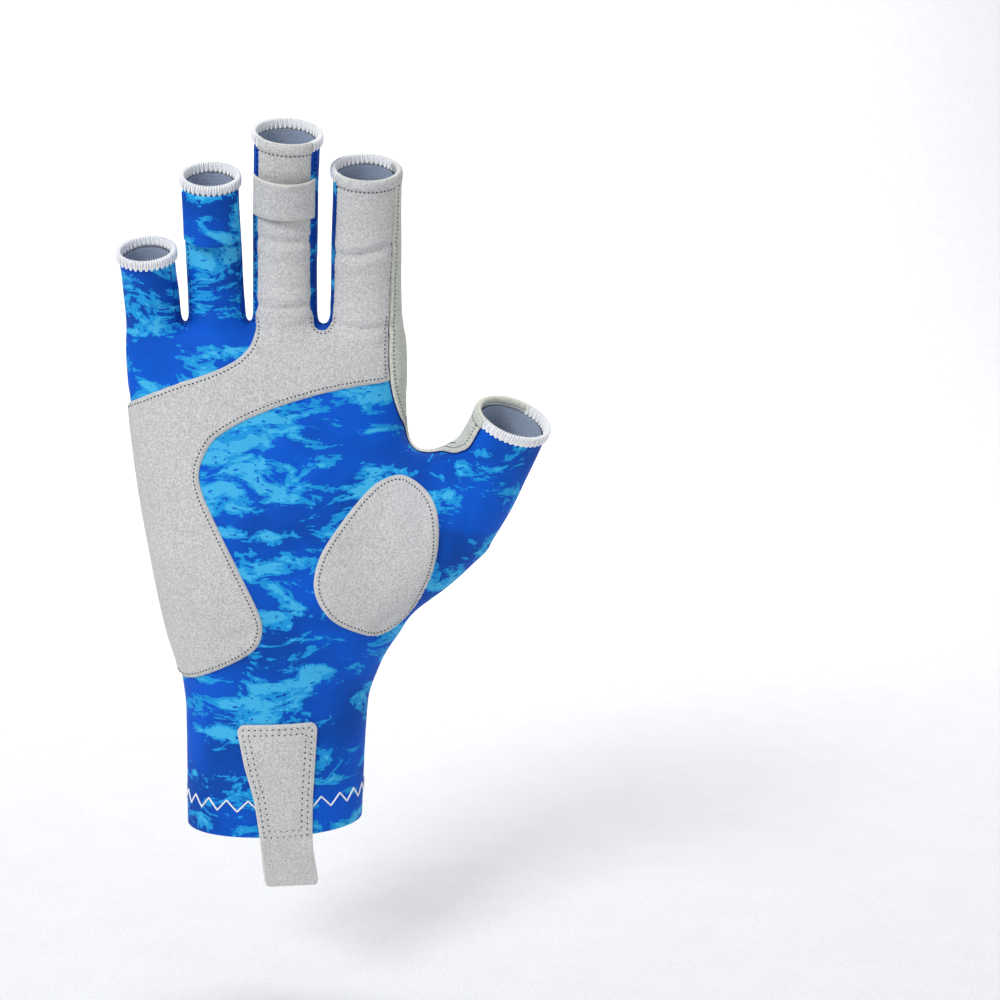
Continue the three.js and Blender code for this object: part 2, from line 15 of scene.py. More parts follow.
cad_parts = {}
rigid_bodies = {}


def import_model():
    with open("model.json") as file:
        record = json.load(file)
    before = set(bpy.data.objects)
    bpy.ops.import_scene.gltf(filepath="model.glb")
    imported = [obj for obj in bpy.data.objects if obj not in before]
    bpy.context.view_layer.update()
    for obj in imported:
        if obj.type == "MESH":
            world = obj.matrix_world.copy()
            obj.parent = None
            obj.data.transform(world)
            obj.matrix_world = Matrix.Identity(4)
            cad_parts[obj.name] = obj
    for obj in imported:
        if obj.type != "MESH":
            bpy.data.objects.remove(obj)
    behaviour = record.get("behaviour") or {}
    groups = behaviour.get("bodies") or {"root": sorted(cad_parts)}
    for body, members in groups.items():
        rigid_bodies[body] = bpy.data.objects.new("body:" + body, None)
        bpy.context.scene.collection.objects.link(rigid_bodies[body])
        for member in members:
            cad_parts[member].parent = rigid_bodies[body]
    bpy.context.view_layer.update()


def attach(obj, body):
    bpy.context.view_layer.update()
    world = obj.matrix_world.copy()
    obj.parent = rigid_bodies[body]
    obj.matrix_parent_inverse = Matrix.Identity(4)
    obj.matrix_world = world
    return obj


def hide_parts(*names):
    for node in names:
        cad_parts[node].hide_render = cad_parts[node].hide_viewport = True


bl_info = {
    "name": "Fishing Glove",
    "version": (1, 0, 0),
    "blender": (4, 5, 0),
    "location": "View3D > Sidebar > Glove",
    "description": "Builds a fishing glove with camouflage cloth and leather pieces",
    "category": "Add Mesh",
}

for leftover in list(bpy.data.objects):
    bpy.data.objects.remove(leftover)
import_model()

MM = 0.001
BODY = "root"

# Sizes that the CAD has too.
WRIST_WIDTH = 57.0
WRIST_DEPTH = 42.0
KNUCKLE_WIDTH = 85.0
KNUCKLE_DEPTH = 30.0
PALM_LENGTH = 161.0
FINGER_GAP = 1.1
INDEX_GAP = 3.3
ROOT_DEPTH = 17.0
KNUCKLE_UP = 0.94
HEM_HEIGHT = 2.4
SEAM_GAP = 0.3
CLOTH_WALL = 1.2
LEATHER_WALL = 1.0
STRIP_WIDTH = 9.0
LEATHER_FROM = ROOT_DEPTH / 2
LEATHER_BAND_HEIGHT = 13.0
LEATHER_BAND_DROP = 11.0
CLOTH_BAND_HEIGHT = 16.5
BAND_SLACK = 1.2
TAB_LENGTH = 53.0
TAB_WIDTH = 25.0
TAB_HANG = 16.0

# The hand tube from the cuff up: share of the palm's length, left and right half width and half
# depth from the wrist's size to the knuckles', the middle's set-back and the section's power.
HAND = np.array([
    (0.0, 0.0, 0.0, 0.0, 0.0, 2.1),
    (0.24, -0.04, 0.18, 0.12, -0.03, 2.1),
    (0.32, 0.04, 0.48, 0.18, -0.13, 2.15),
    (0.4, 0.26, 0.95, 0.14, -0.25, 2.2),
    (0.49, 0.44, 1.18, 0.18, -0.37, 2.3),
    (0.58, 0.6, 1.22, 0.3, -0.41, 2.3),
    (0.67, 0.75, 1.2, 0.58, -0.43, 2.35),
    (0.76, 0.86, 1.06, 0.9, -0.45, 2.4),
    (0.86, 0.94, 1.03, 1.25, -0.5, 2.45),
    (0.94, 0.955, 1.03, 1.62, -0.545, 2.5),
    (0.985, 0.89, 0.97, 2.05, -0.57, 2.4),
    (1.0, 0.78, 0.85, 2.55, -0.58, 2.2),
])

# Digits along their length: share of the length, of the width and of the depth.
FINGER = ((0.0, 0.96, 0.9), (0.28, 1.0, 1.04), (0.46, 0.99, 0.98), (0.64, 1.0, 1.01),
          (0.82, 0.99, 0.98), (1.0, 1.0, 1.0))
THUMB = ((0.0, 1.0, 1.1), (0.18, 1.24, 1.28), (0.4, 1.31, 1.3), (0.6, 1.21, 1.19),
         (0.8, 1.06, 1.05), (1.0, 1.0, 1.0))
WEB = ((0.0, 1.9, 1.0), (0.52, 1.8, 0.72), (0.66, 1.46, 0.86), (0.8, 1.22, 0.95),
       (1.0, 1.08, 0.85))

# Fingers: name, width at the root and the end, depth, length, lean and curl in degrees.
FINGERS = (
    ("little", (17.2, 16.6), 15.6, 42.3, (-2.5, -2.5), (2, 30)),
    ("ring", (18.0, 16.6), 16.4, 65.0, (-1.5, 0.5), (2, 30)),
    ("middle", (20.2, 19.6), 18.2, 78.0, (0, 3.5), (2, 30)),
    ("index", (22.4, 19.6), 18.2, 67.5, (0, 1), (2, 30)),
)

# The thumb and the web beside it, in the same order, and the place of the root.
THUMB_TUBE = ("thumb", (22, 22), 20.5, 78.0, (50, 18), (22, 28), (34.8, -5, 77))
WEB_TUBE = ("web", (26, 26), 18.0, 46.0, (78, 78), (23, 23), (18, -3, 99))

# Outlines seen from the palm side: shares of half the knuckle width and of the palm's length.
# A stretch of two points is a straight line, and a longer one is a curve.
PALM_PATCH = (
    ((-0.045, 1.03), (-0.06, 0.99), (-0.13, 0.953), (-0.32, 0.921), (-0.64, 0.892),
     (-0.97, 0.858)),
    ((-0.97, 0.858), (-1.2, 0.75)),
    ((-1.2, 0.75), (-1.1, 0.5)),
    ((-1.1, 0.5), (-0.9, 0.317)),
    ((-0.9, 0.317), (-0.66, 0.317)),
    ((-0.66, 0.317), (-0.6, 0.314), (-0.37, 0.341), (-0.14, 0.376), (-0.06, 0.405),
     (-0.06, 0.448), (-0.18, 0.523), (-0.35, 0.621), (-0.46, 0.69), (-0.475, 0.73),
     (-0.42, 0.768), (-0.32, 0.798), (0.0, 0.841), (0.47, 0.877), (0.93, 0.896)),
    ((0.93, 0.896), (0.93, 1.04)),
    ((0.93, 1.04), (0.5, 1.04)),
    ((0.5, 1.04), (0.492, 1.012), (0.45, 0.992), (0.4, 0.988), (0.36, 1.002), (0.34, 1.03)),
    ((0.34, 1.03), (-0.045, 1.03)),
)
THUMB_PAD = (
    ((1.0, 0.716), (1.15, 0.69), (1.22, 0.645), (1.22, 0.571), (1.15, 0.5), (1.02, 0.437),
     (0.82, 0.397), (0.64, 0.407), (0.44, 0.44), (0.33, 0.497), (0.37, 0.56), (0.52, 0.622),
     (0.72, 0.684), (0.86, 0.71), (1.0, 0.716)),
)
STRIP_FRONT = ((0.9, 1.03), (0.892, 0.95), (0.908, 0.885), (0.965, 0.83), (1.06, 0.785),
               (1.17, 0.768), (1.27, 0.763), (1.36, 0.763))
STRIP_BACK = ((0.96, 1.03), (0.97, 0.9), (0.98, 0.79), (1.0, 0.72), (1.05, 0.685),
              (1.15, 0.658), (1.27, 0.648), (1.4, 0.648), (1.52, 0.66), (1.63, 0.688))

# Borders of the leather on a digit, as shares of its half width at the root and at the end.
MIDDLE_LEATHER = ((-0.79, -0.78), (0.77, 0.71))
INDEX_LEATHER = ((-0.9, -0.82), (0.62, 0.86))
INDEX_STRIP = ((0.6, 0.84), (0.9, 0.86))
THUMB_STRIP = ((-0.8, -0.8), (0.38, 0.42))
THUMB_STRIP_FROM = (0.84, 0.76)     # share of the thumb's length, on the palm side and the back
RING_BAND = ((-0.86, -0.86), (0.86, 0.86))

# The pull tab from its top down: shares of its length, and of its width for middle and width.
TAB = np.array([
    (0.0, 0.07, 0.86), (0.015, 0.07, 0.95), (0.04, 0.07, 1.0), (0.25, 0.09, 0.89),
    (0.46, 0.13, 0.74), (0.66, 0.15, 0.67), (0.78, 0.165, 0.66), (0.965, 0.21, 0.68),
    (0.99, 0.213, 0.64), (1.0, 0.215, 0.58),
])

# Creases across the digits on the palm side: number of the digit, place along it, depth, slope.
CREASES = ((0, 24.5, 0.45, 0.05), (1, 24.0, 0.5, 0.1), (2, 24.5, 0.8, 0.05), (2, 46.0, 0.7, 0.0),
           (3, 18.0, 0.8, 0.0), (3, 43.0, 0.9, 0.28))
CREASE_BOW = 0.012
CREASE_SHAPE = (1.5, 0.4, 3.2, 1.7)     # half width, and the swell beside it: height, place, width

# Soft folds of the cloth as seen from the palm side: two ends in x and z, half width, depth and
# the side of the glove, -1 for the palm.
FOLDS = (
    (51.0, 80.0, 56.5, 112.0, 1.8, 0.7, -1), (57.0, 86.0, 62.0, 112.0, 1.6, 0.45, -1),
    (27.0, 44.0, 20.0, 62.0, 2.6, 0.5, -1), (-27.0, 30.0, -20.0, 46.0, 2.6, 0.45, -1),
    (-14.0, 64.0, 6.0, 72.0, 2.2, 0.35, -1), (30.0, 60.0, 38.0, 72.0, 2.0, 0.5, -1),
    (-2.0, 104.0, 18.0, 128.0, 3.0, 0.4, -1), (-8.0, 120.0, 12.0, 136.0, 2.4, 0.3, -1),
    (26.0, 30.0, 18.0, 52.0, 3.0, 0.5, 1), (-26.0, 34.0, -16.0, 58.0, 3.0, 0.5, 1),
    (36.0, 78.0, 50.0, 96.0, 3.0, 0.5, 1), (30.0, 96.0, 48.0, 112.0, 2.6, 0.4, 1),
)
FOLD_SWELL = (0.5, 2.2, 1.2)            # the swell beside it: height, place and width in widths
FOLD_PLAIN = 0.3                        # share from its middle at which it starts to fade
FOLD_FADE = 0.22

CELL = 0.9              # spacing of the distance field
GRID_LOW = np.array((-48.0, -52.0, -9.0))
GRID_HIGH = np.array((90.0, 27.0, 236.0))
REACH = 20.0            # distances from the form are kept within this
FAR = 1.0e3
PATH_STEPS = 24         # steps of a digit's path
PATH_ROOM = 26          # room round a path in which its distances are worked out
BEYOND = 9              # how far a digit's form runs on past its end, where it is cut
ROOT_FILLET = 3.5       # fillets between the hand and the fingers, and at the thumb
THUMB_FILLET = 9
LINING_STEP = 2         # the lining uses every second point of the field

# Leather: how far it lies off the cloth, its edge, and its rows of stitches from the edge in.
LEATHER_LIFT = 0.12
LEATHER_JOINT = 0.12    # gap between the palm patch and the thumb strip
GROOVE = (0.16, 0.4)    # depth and half width of the groove that a row of stitches presses
TAB_GROOVE = (0.14, 0.35)
EDGE_RADIUS = 0.9
THIN_EDGE_RADIUS = 0.6
STITCH_INSET = 1.45
SECOND_INSET = 3.0
END_INSET = 0.8
TAB_ROWS = ((1.6, 0.69), (3.4, 0.655))      # inset, and the share of the length it reaches

# The ends. A digit's profiles are (out from the cloth, along from the end), and the cuff's is
# (in from the outer face, height).
RIM_PROFILE = ((0.05, -3.0), (0.36, -2.7), (0.42, -1.0), (0.3, -0.3), (0.0, -0.05), (-0.35, -0.1),
               (-0.62, -0.45), (-0.72, -1.3), (-0.8, -2.9))
RIM_OUT = 0.42
RIM_POINTS = 240
FOLD_PROFILE = ((0.9, -3.5), (1.15, -3.1), (1.25, -2.3), (1.22, -1.2), (1.0, -0.35), (0.5, 0.12),
                (0.0, 0.16), (-0.5, -0.1), (-0.8, -0.6), (-0.85, -1.8))
FOLD_COLUMNS = 64
CUFF_PROFILE = ((0.0, 1.4), (0.02, 0.5), (0.35, -0.05), (1.0, -0.2), (1.7, -0.1), (2.3, 0.3),
                (2.5, 1.5), (2.5, 8.6), (2.2, 9.1), (1.3, 9.2))
CUFF_COLUMNS = 128

# One turn of overlock thread over an edge: X round the rim, Y up, Z outwards.
OVERLOCK_PATH = ((-0.34, -2.9, 0.08), (-0.28, -2.1, 0.2), (-0.15, -0.9, 0.24), (0.0, -0.2, 0.08),
                 (0.06, 0.06, -0.35), (0.12, -0.05, -0.8), (0.2, -0.5, -1.02),
                 (0.34, -2.9, -1.12))

# The zigzag on the cuff: its peaks, middle height, half height, steps of a slant and thread.
ZIGZAG_PEAKS = 24
ZIGZAG_Z = 10.2
ZIGZAG_HALF = 1.8
ZIGZAG_STEPS = 12
ZIGZAG_RADIUS = 0.27


# Curves and tables.

def spline(xs, ys, x):
    """A smooth curve through the table's points, with no overshoot between them."""
    xs = np.asarray(xs, float)
    ys = np.asarray(ys, float)
    slopes = np.diff(ys) / np.diff(xs)
    before, after = slopes[:-1], slopes[1:]
    both = np.where(before + after == 0, 1, before + after)
    inner = np.where(after * before > 0, 2 * after * before / both, 0)
    tangents = np.concatenate([[slopes[0]], inner, [slopes[-1]]])
    x = np.clip(x, xs[0], xs[-1])
    i = np.clip(np.searchsorted(xs, x, side="right") - 1, 0, len(xs) - 2)
    h = xs[i + 1] - xs[i]
    t = (x - xs[i]) / h
    return ((2 * t**3 - 3 * t**2 + 1) * ys[i] + (t**3 - 2 * t**2 + t) * h * tangents[i]
            + (3 * t**2 - 2 * t**3) * ys[i + 1] + (t**3 - t**2) * h * tangents[i + 1])


def catmull(points, steps):
    """Points on a Catmull-Rom curve through the given ones, without the last."""
    p = np.asarray(points, float)
    if np.allclose(p[0], p[-1]):
        ends = np.vstack([p[-2], p, p[1]])
    else:
        ends = np.vstack([2 * p[0] - p[1], p, 2 * p[-1] - p[-2]])
    out = []
    for i in range(len(p) - 1):
        a, b, c, d = ends[i:i + 4]
        for step in range(steps):
            t = step / steps
            out.append(0.5 * (2 * b + (c - a) * t + (2 * a - 5 * b + 4 * c - d) * t**2
                              + (3 * b - a - 3 * c + d) * t**3))
    return out


def outline(stretches):
    """The outline's corners in millimetres, its curves drawn finely."""
    points = []
    for stretch in stretches:
        points += catmull(stretch, 10) if len(stretch) > 2 else [stretch[0]]
    return np.array(points) * (KNUCKLE_WIDTH / 2, PALM_LENGTH)


def inside_by(polygon, x, z):
    """How far each point lies inside a polygon, below zero outside."""
    near = np.full(x.shape, FAR)
    inside = np.zeros(x.shape, bool)
    for (ax, az), (bx, bz) in zip(polygon, np.roll(polygon, -1, axis=0)):
        ex, ez = bx - ax, bz - az
        t = np.clip(((x - ax) * ex + (z - az) * ez) / max(ex * ex + ez * ez, 1e-9), 0, 1)
        near = np.minimum(near, np.hypot(x - ax - t * ex, z - az - t * ez))
        if az != bz:
            crosses = (z < max(az, bz)) & (z >= min(az, bz))
            inside ^= crosses & (x < ax + (z - az) / (bz - az) * ex)
    return np.where(inside, near, -near)


def lerp(pair, share):
    """The value a share of the way from the pair's first to its second."""
    return pair[0] + (pair[1] - pair[0]) * share


# The hand's form.

def hand_half(z):
    """Left and right half width, half depth, middle and power of the hand tube at height z."""
    up = np.clip(z / PALM_LENGTH, 0, 1)
    left, right, deep, middle, square = (spline(HAND[:, 0], HAND[:, k], up) for k in range(1, 6))
    width = lambda share: (WRIST_WIDTH + (KNUCKLE_WIDTH - WRIST_WIDTH) * share) / 2
    depth = (WRIST_DEPTH + (KNUCKLE_DEPTH - WRIST_DEPTH) * deep) / 2
    return width(left), width(right), depth, middle * KNUCKLE_DEPTH / 2, square


def hand_distance(x, y, z):
    """Distance from the hand tube, below zero inside."""
    left, right, deep, middle, square = hand_half(z)
    wide = np.where(x > 0, right, left)
    u = np.maximum(np.abs(x) / wide, 1e-4)
    v = np.maximum(np.abs(y - middle) / deep, 1e-4)
    g = (u**square + v**square) ** (1 / square)
    slope = g ** (1 - square) * np.hypot(u ** (square - 1) / wide, v ** (square - 1) / deep)
    return np.maximum(np.clip((g - 1) / slope, -REACH, REACH), z - PALM_LENGTH)


class Digit:
    """A tube along a path that leans and curls."""

    def __init__(self, name, width, depth, length, lean, curl, root, table):
        self.name = name
        self.width = width
        self.depth = depth
        self.length = length
        self.table = np.array(table)
        share = np.linspace(0, 1, PATH_STEPS + 1)
        lean = np.radians(lerp(lean, share))
        curl = np.radians(lerp(curl, share))
        self.along = np.stack([np.sin(lean) * np.cos(curl), -np.sin(curl),
                               np.cos(lean) * np.cos(curl)], axis=1)
        self.across = np.stack([np.cos(lean), 0 * lean, -np.sin(lean)], axis=1)
        self.at = np.array(root) + np.vstack([np.zeros(3), np.cumsum(self.along[:-1], axis=0)
                                              * length / PATH_STEPS])
        self.lengths = share * length
        self.cloth_end = length - HEM_HEIGHT - SEAM_GAP

    def frame(self, s):
        """Point, along, across and back at lengths s, carried straight on past both ends."""
        s = np.asarray(s, float)
        inner = np.clip(s, 0, self.length)
        mix = lambda rows: np.stack([np.interp(inner, self.lengths, rows[:, k])
                                     for k in range(3)], axis=-1)
        along = mix(self.along)
        along /= np.linalg.norm(along, axis=-1, keepdims=True)
        across = mix(self.across)
        across /= np.linalg.norm(across, axis=-1, keepdims=True)
        at = mix(self.at) + along * (s - inner)[..., None]
        return at, along, across, np.cross(along, across)

    def half(self, s):
        """Half width and half depth at lengths s."""
        share = np.clip(np.asarray(s, float) / self.length, 0, 1)
        wide = spline(self.table[:, 0], self.table[:, 1], share)
        deep = spline(self.table[:, 0], self.table[:, 2], share)
        return lerp(self.width, share) * wide / 2, self.depth * deep / 2

    def local(self, points):
        """Length along the path, and the place across and back from it, for each point."""
        best = np.full(len(points), FAR)
        s = np.zeros(len(points))
        for at, along, length in zip(self.at, self.along, self.lengths):
            t = (points - at) @ along
            nearer = np.abs(t) < best
            best[nearer] = np.abs(t)[nearer]
            s[nearer] = (length + t)[nearer]
        at, along, across, back = self.frame(s)
        offset = points - at
        return s, np.sum(offset * across, axis=1), np.sum(offset * back, axis=1)

    def distance(self, points, beyond):
        """Distance from the tube, below zero inside. It runs on past its end by `beyond`."""
        s, u, v = self.local(points)
        wide, deep = self.half(s)
        g = np.maximum(np.hypot(u / wide, v / deep), 1e-3)
        slope = np.maximum(np.hypot(u / wide**2, v / deep**2) / g, 1e-4)
        side = np.clip((g - 1) / slope, -REACH, REACH)
        return np.maximum(side, np.maximum(-s, s - self.length - beyond))

    def point(self, s, u, v):
        """Points at lengths s, u across and v back from the path."""
        at, along, across, back = self.frame(s)
        return at + across * np.asarray(u)[..., None] + back * np.asarray(v)[..., None]

    def around(self, s, turns, out):
        """Points at lengths s and turns round the digit, `out` from its surface."""
        wide, deep = self.half(s)
        return self.point(s, np.cos(turns) * (wide + out), np.sin(turns) * (deep + out))


def lay_out_digits():
    """The five digits and the web of skin beside the thumb, where the CAD has them."""
    gaps = (FINGER_GAP, FINGER_GAP, INDEX_GAP, 0)
    left, right, *_ = hand_half(np.array(KNUCKLE_UP * PALM_LENGTH))
    reach = sum(finger[1][0] + gap for finger, gap in zip(FINGERS, gaps))
    side = (right - left - reach) / 2
    root_z = PALM_LENGTH - ROOT_DEPTH
    root_y = float(np.interp(root_z / PALM_LENGTH, HAND[:, 0], HAND[:, 4])) * KNUCKLE_DEPTH / 2
    digits = []
    for (name, width, *shape), gap in zip(FINGERS, gaps):
        root = (side + width[0] / 2, root_y, root_z)
        digits.append(Digit(name, width, *shape, root, FINGER))
        side += width[0] + gap
    return [*digits, Digit(*THUMB_TUBE, THUMB)], Digit(*WEB_TUBE, WEB)


DIGITS, THUMB_WEB = lay_out_digits()
LITTLE, RING, MIDDLE, INDEX, THUMB_STALL = DIGITS


def blend(a, b, reach):
    """The union of two distances, with a fillet where they meet."""
    h = np.maximum(reach - np.abs(a - b), 0) / reach
    return np.minimum(a, b) - h * h * reach / 4


@cache
def form_field():
    """The distance field of the whole hand, on the grid."""
    axes = [np.arange(low, high, CELL) for low, high in zip(GRID_LOW, GRID_HIGH)]
    x, y, z = np.meshgrid(*axes, indexing="ij", sparse=True)
    hand = hand_distance(x + 0 * y, y + 0 * x, z + 0 * x)
    stalls = []
    for digit in (*DIGITS, THUMB_WEB):
        low = digit.at.min(axis=0) - PATH_ROOM
        high = digit.at.max(axis=0) + PATH_ROOM
        part = tuple(slice(max(int((a - g) / CELL), 0), max(int((b - g) / CELL), 1))
                     for a, b, g in zip(low, high, GRID_LOW))
        grid = np.meshgrid(*[axis[cut] for axis, cut in zip(axes, part)], indexing="ij")
        points = np.stack([places.ravel() for places in grid], axis=1)
        distance = np.full(hand.shape, REACH)
        beyond = 0 if digit is THUMB_WEB else BEYOND
        distance[part] = digit.distance(points, beyond).reshape(grid[0].shape)
        stalls.append(distance)
    fingers = np.minimum.reduce(stalls[:4])
    thumb = blend(stalls[4], stalls[5], THUMB_FILLET)
    return blend(blend(hand, fingers, ROOT_FILLET), thumb, THUMB_FILLET)


# Working meshes: arrays of points in millimetres, triangles, and values per point.

class Skin:
    """A triangle mesh as arrays."""

    def __init__(self, points, triangles, **values):
        self.points = points
        self.triangles = triangles
        self.values = values

    def normals(self):
        """The surface's direction at each point."""
        a, b, c = (self.points[self.triangles[:, k]] for k in range(3))
        flat = np.cross(b - a, c - a)
        out = np.zeros_like(self.points)
        for k in range(3):
            np.add.at(out, self.triangles[:, k], flat)
        return out / np.maximum(np.linalg.norm(out, axis=1, keepdims=True), 1e-12)

    def edges(self):
        """The three edges of each triangle, as pairs of points."""
        t = self.triangles
        return np.vstack([t[:, [0, 1]], t[:, [1, 2]], t[:, [2, 0]]])

    def smooth(self, rounds, factor=0.5):
        """Moves each point towards the middle of its neighbours."""
        edges = np.unique(np.sort(self.edges(), axis=1), axis=0)
        count = np.bincount(edges.ravel(), minlength=len(self.points))[:, None]
        for _ in range(rounds):
            total = np.zeros_like(self.points)
            np.add.at(total, edges[:, 0], self.points[edges[:, 1]])
            np.add.at(total, edges[:, 1], self.points[edges[:, 0]])
            self.points = self.points + factor * (total / np.maximum(count, 1) - self.points)

    def soften(self, field, rounds=8, reach=4):
        """The field with its steps and wobbles evened out over the surface."""
        a, b = self.edges().T
        size = len(self.points)
        count = np.maximum(np.bincount(a, minlength=size) + np.bincount(b, minlength=size), 1)
        field = np.clip(field, -reach, reach)
        for _ in range(rounds):
            total = (np.bincount(a, weights=field[b], minlength=size)
                     + np.bincount(b, weights=field[a], minlength=size))
            field = 0.5 * field + 0.5 * total / count
        return field

    def crossings(self, field):
        """Where edges cross the field's zero line: two ends and a share for each, and the
        numbers of these places on each triangle's three edges, -1 where there is none."""
        keys = np.sort(self.edges(), axis=1)
        crossed = (field[keys[:, 0]] > 0) != (field[keys[:, 1]] > 0)
        unique, back = np.unique(keys[crossed], axis=0, return_inverse=True)
        number = np.full(len(keys), -1)
        number[crossed] = back.ravel()
        a, b = unique[:, 0], unique[:, 1]
        share = field[a] / (field[a] - field[b])
        return a, b, share, number.reshape(3, -1).T

    def clip(self, field):
        """The part where the field is above zero, cut cleanly along the zero line."""
        a, b, share, number = self.crossings(field)
        number = number + len(self.points)
        points = np.vstack([self.points, between(self.points, a, b, share)])
        values = {key: np.concatenate([value, between(value, a, b, share)])
                  for key, value in self.values.items()}
        t = self.triangles
        kept = field[t] > 0
        count = kept.sum(axis=1)
        whole = [t[count == 3]]
        for i in range(3):
            j, k = (i + 1) % 3, (i + 2) % 3
            one = (count == 1) & kept[:, i]
            whole.append(np.stack([t[one, i], number[one, i], number[one, k]], axis=1))
            two = (count == 2) & ~kept[:, i]
            p, q = number[two, i], number[two, k]
            whole.append(np.stack([t[two, j], t[two, k], q], axis=1))
            whole.append(np.stack([t[two, j], q, p], axis=1))
        return Skin(points, np.vstack(whole), **values).tidy()

    def tidy(self):
        """The same mesh without the points that no triangle uses."""
        used, triangles = np.unique(self.triangles, return_inverse=True)
        values = {key: value[used] for key, value in self.values.items()}
        return Skin(self.points[used], triangles.reshape(-1, 3), **values)

    def rail(self, field, keep=None):
        """The field's zero line as points, their normals and edges."""
        a, b, share, number = self.crossings(field)
        points = between(self.points, a, b, share)
        normals = between(self.normals(), a, b, share)
        rows = number[(number >= 0).sum(axis=1) == 2]
        edges = np.sort(rows, axis=1)[:, 1:]
        if keep:
            edges = edges[keep(points)[edges].all(axis=1)]
        return points, normals, edges

    def sheet(self, height, under=0.02):
        """Points and faces of a closed sheet that stands `height` proud of the surface."""
        outward = self.values["normal"]
        t = self.triangles
        size = len(self.points)
        ways = self.edges()
        back = set(map(tuple, ways[:, ::-1].tolist()))
        walls = [[b, a, a + size, b + size] for a, b in ways.tolist() if (a, b) not in back]
        points = np.vstack([self.points + outward * height[:, None],
                            self.points + outward * under])
        return points, t.tolist() + (t[:, ::-1] + size).tolist() + walls

    def border(self):
        """The mesh's open edges."""
        edges = np.sort(self.edges(), axis=1)
        unique, count = np.unique(edges, axis=0, return_counts=True)
        return unique[count == 1]


def between(array, a, b, share):
    """Values that lie a share of the way from the array's rows a to its rows b."""
    share = share.reshape(-1, *([1] * (array.ndim - 1)))
    return array[a] * (1 - share) + array[b] * share


def near_distance(points, line_points):
    """Distance from each point to the nearest of the line's points."""
    tree = kdtree.KDTree(len(line_points))
    for i, point in enumerate(line_points):
        tree.insert(point, i)
    tree.balance()
    return np.array([tree.find(point)[2] for point in points])


def place(name, data):
    """An object for the data, linked into the scene."""
    obj = bpy.data.objects.new(name, data)
    bpy.context.scene.collection.objects.link(obj)
    return obj


def write_mesh(name, points, faces, values=None, edges=()):
    """A smooth mesh object in metres, at the origin, with values per point."""
    mesh = bpy.data.meshes.new(name)
    faces = [[int(corner) for corner in face] for face in faces]
    mesh.from_pydata((np.asarray(points) * MM).tolist(), np.asarray(edges).tolist(), faces)
    for key, value in (values or {}).items():
        kind, label = (("FLOAT_VECTOR", "vector") if np.ndim(value) == 2 else ("FLOAT", "value"))
        layer = mesh.attributes.new(key, kind, "POINT")
        layer.data.foreach_set(label, np.asarray(value, np.float32).ravel())
    mesh.shade_smooth()
    mesh.update()
    return place(name, mesh)


def level_skin(field, level, step=1):
    """The skin where the field has the given level, from every step-th point of its grid."""
    grid = openvdb.FloatGrid(REACH)
    field = field[::step, ::step, ::step]
    grid.copyFromArray(np.clip(field, -REACH, REACH).astype(np.float32))
    points, quads = grid.convertToQuads(isovalue=level)
    points = np.asarray(points, float) * CELL * step + GRID_LOW
    quads = np.asarray(quads, int)
    return Skin(points, np.vstack([quads[:, [0, 1, 2]], quads[:, [0, 2, 3]]]))


@cache
def form():
    """The hand's surface with its owner digit and the owner's own coordinates."""
    skin = level_skin(form_field(), 0.0)
    a, b, c = (skin.points[skin.triangles[:, k]] for k in range(3))
    if np.sum(np.cross(b - a, c - a) * (a + b + c)) < 0:
        skin.triangles = skin.triangles[:, ::-1].copy()
    skin.smooth(6)
    return fold(mark(skin))


def dent(off, wide, swell, swell_at, swell_wide):
    """The depth of a dent of that half width, `off` from its line, with swells beside it."""
    off = np.abs(off)
    return (np.exp(-((off / wide) ** 2))
            - swell * np.exp(-(((off - swell_at) / swell_wide) ** 2)))


def fold(skin):
    """Presses the creases and folds into the surface."""
    values = skin.values
    normal = values["normal"]
    depth = np.zeros(len(skin.points))
    front = np.clip(-values["v"] / np.maximum(values["deep"], 1), 0, 1)
    for number, s, deep, slope in CREASES:
        off = values["s"] - s - slope * values["u"] - CREASE_BOW * values["u"] ** 2
        pressed = deep * dent(off, *CREASE_SHAPE) * front**2
        depth += np.where(owned(skin, DIGITS[number]), pressed, 0)
    x, z = skin.points[:, 0], skin.points[:, 2]
    for ax, az, bx, bz, wide, deep, side in FOLDS:
        ex, ez = bx - ax, bz - az
        t = ((x - ax) * ex + (z - az) * ez) / (ex * ex + ez * ez)
        off = ((x - ax) * ez - (z - az) * ex) / math.hypot(ex, ez)
        fade = np.exp(-(np.clip(np.abs(t - 0.5) - FOLD_PLAIN, 0, None) / FOLD_FADE) ** 2)
        swell, swell_at, swell_wide = FOLD_SWELL
        shape = dent(off, wide, swell, swell_at * wide, swell_wide * wide)
        depth += deep * shape * fade * np.clip(side * normal[:, 1], 0, 1)
    skin.points = skin.points - normal * depth[:, None]
    values["normal"] = skin.normals()
    return skin


def mark(skin):
    """Notes at each point whose surface it is, and where it lies on that digit."""
    points = skin.points
    away = [np.abs(hand_distance(*points.T))]
    places = []
    for digit in DIGITS:
        away.append(np.abs(digit.distance(points, 9)))
        places.append(digit.local(points))
    away.append(np.abs(THUMB_WEB.distance(points, 0)))
    owner = np.argmin(away, axis=0)
    s, u, v, wide, deep, end = (np.zeros(len(points)) for _ in range(6))
    end[:] = FAR
    for i, digit in enumerate(DIGITS):
        mine = owner == i + 1
        s[mine], u[mine], v[mine] = (place[mine] for place in places[i])
        wide[mine], deep[mine] = digit.half(s[mine])
        end[mine] = digit.cloth_end - s[mine]
    skin.values = {"normal": skin.normals(), "owner": owner.astype(float), "s": s, "u": u, "v": v,
                   "wide": wide, "deep": deep, "end": end}
    return skin


def owned(skin, digit):
    """Which points belong to the digit."""
    return np.round(skin.values["owner"]) == DIGITS.index(digit) + 1


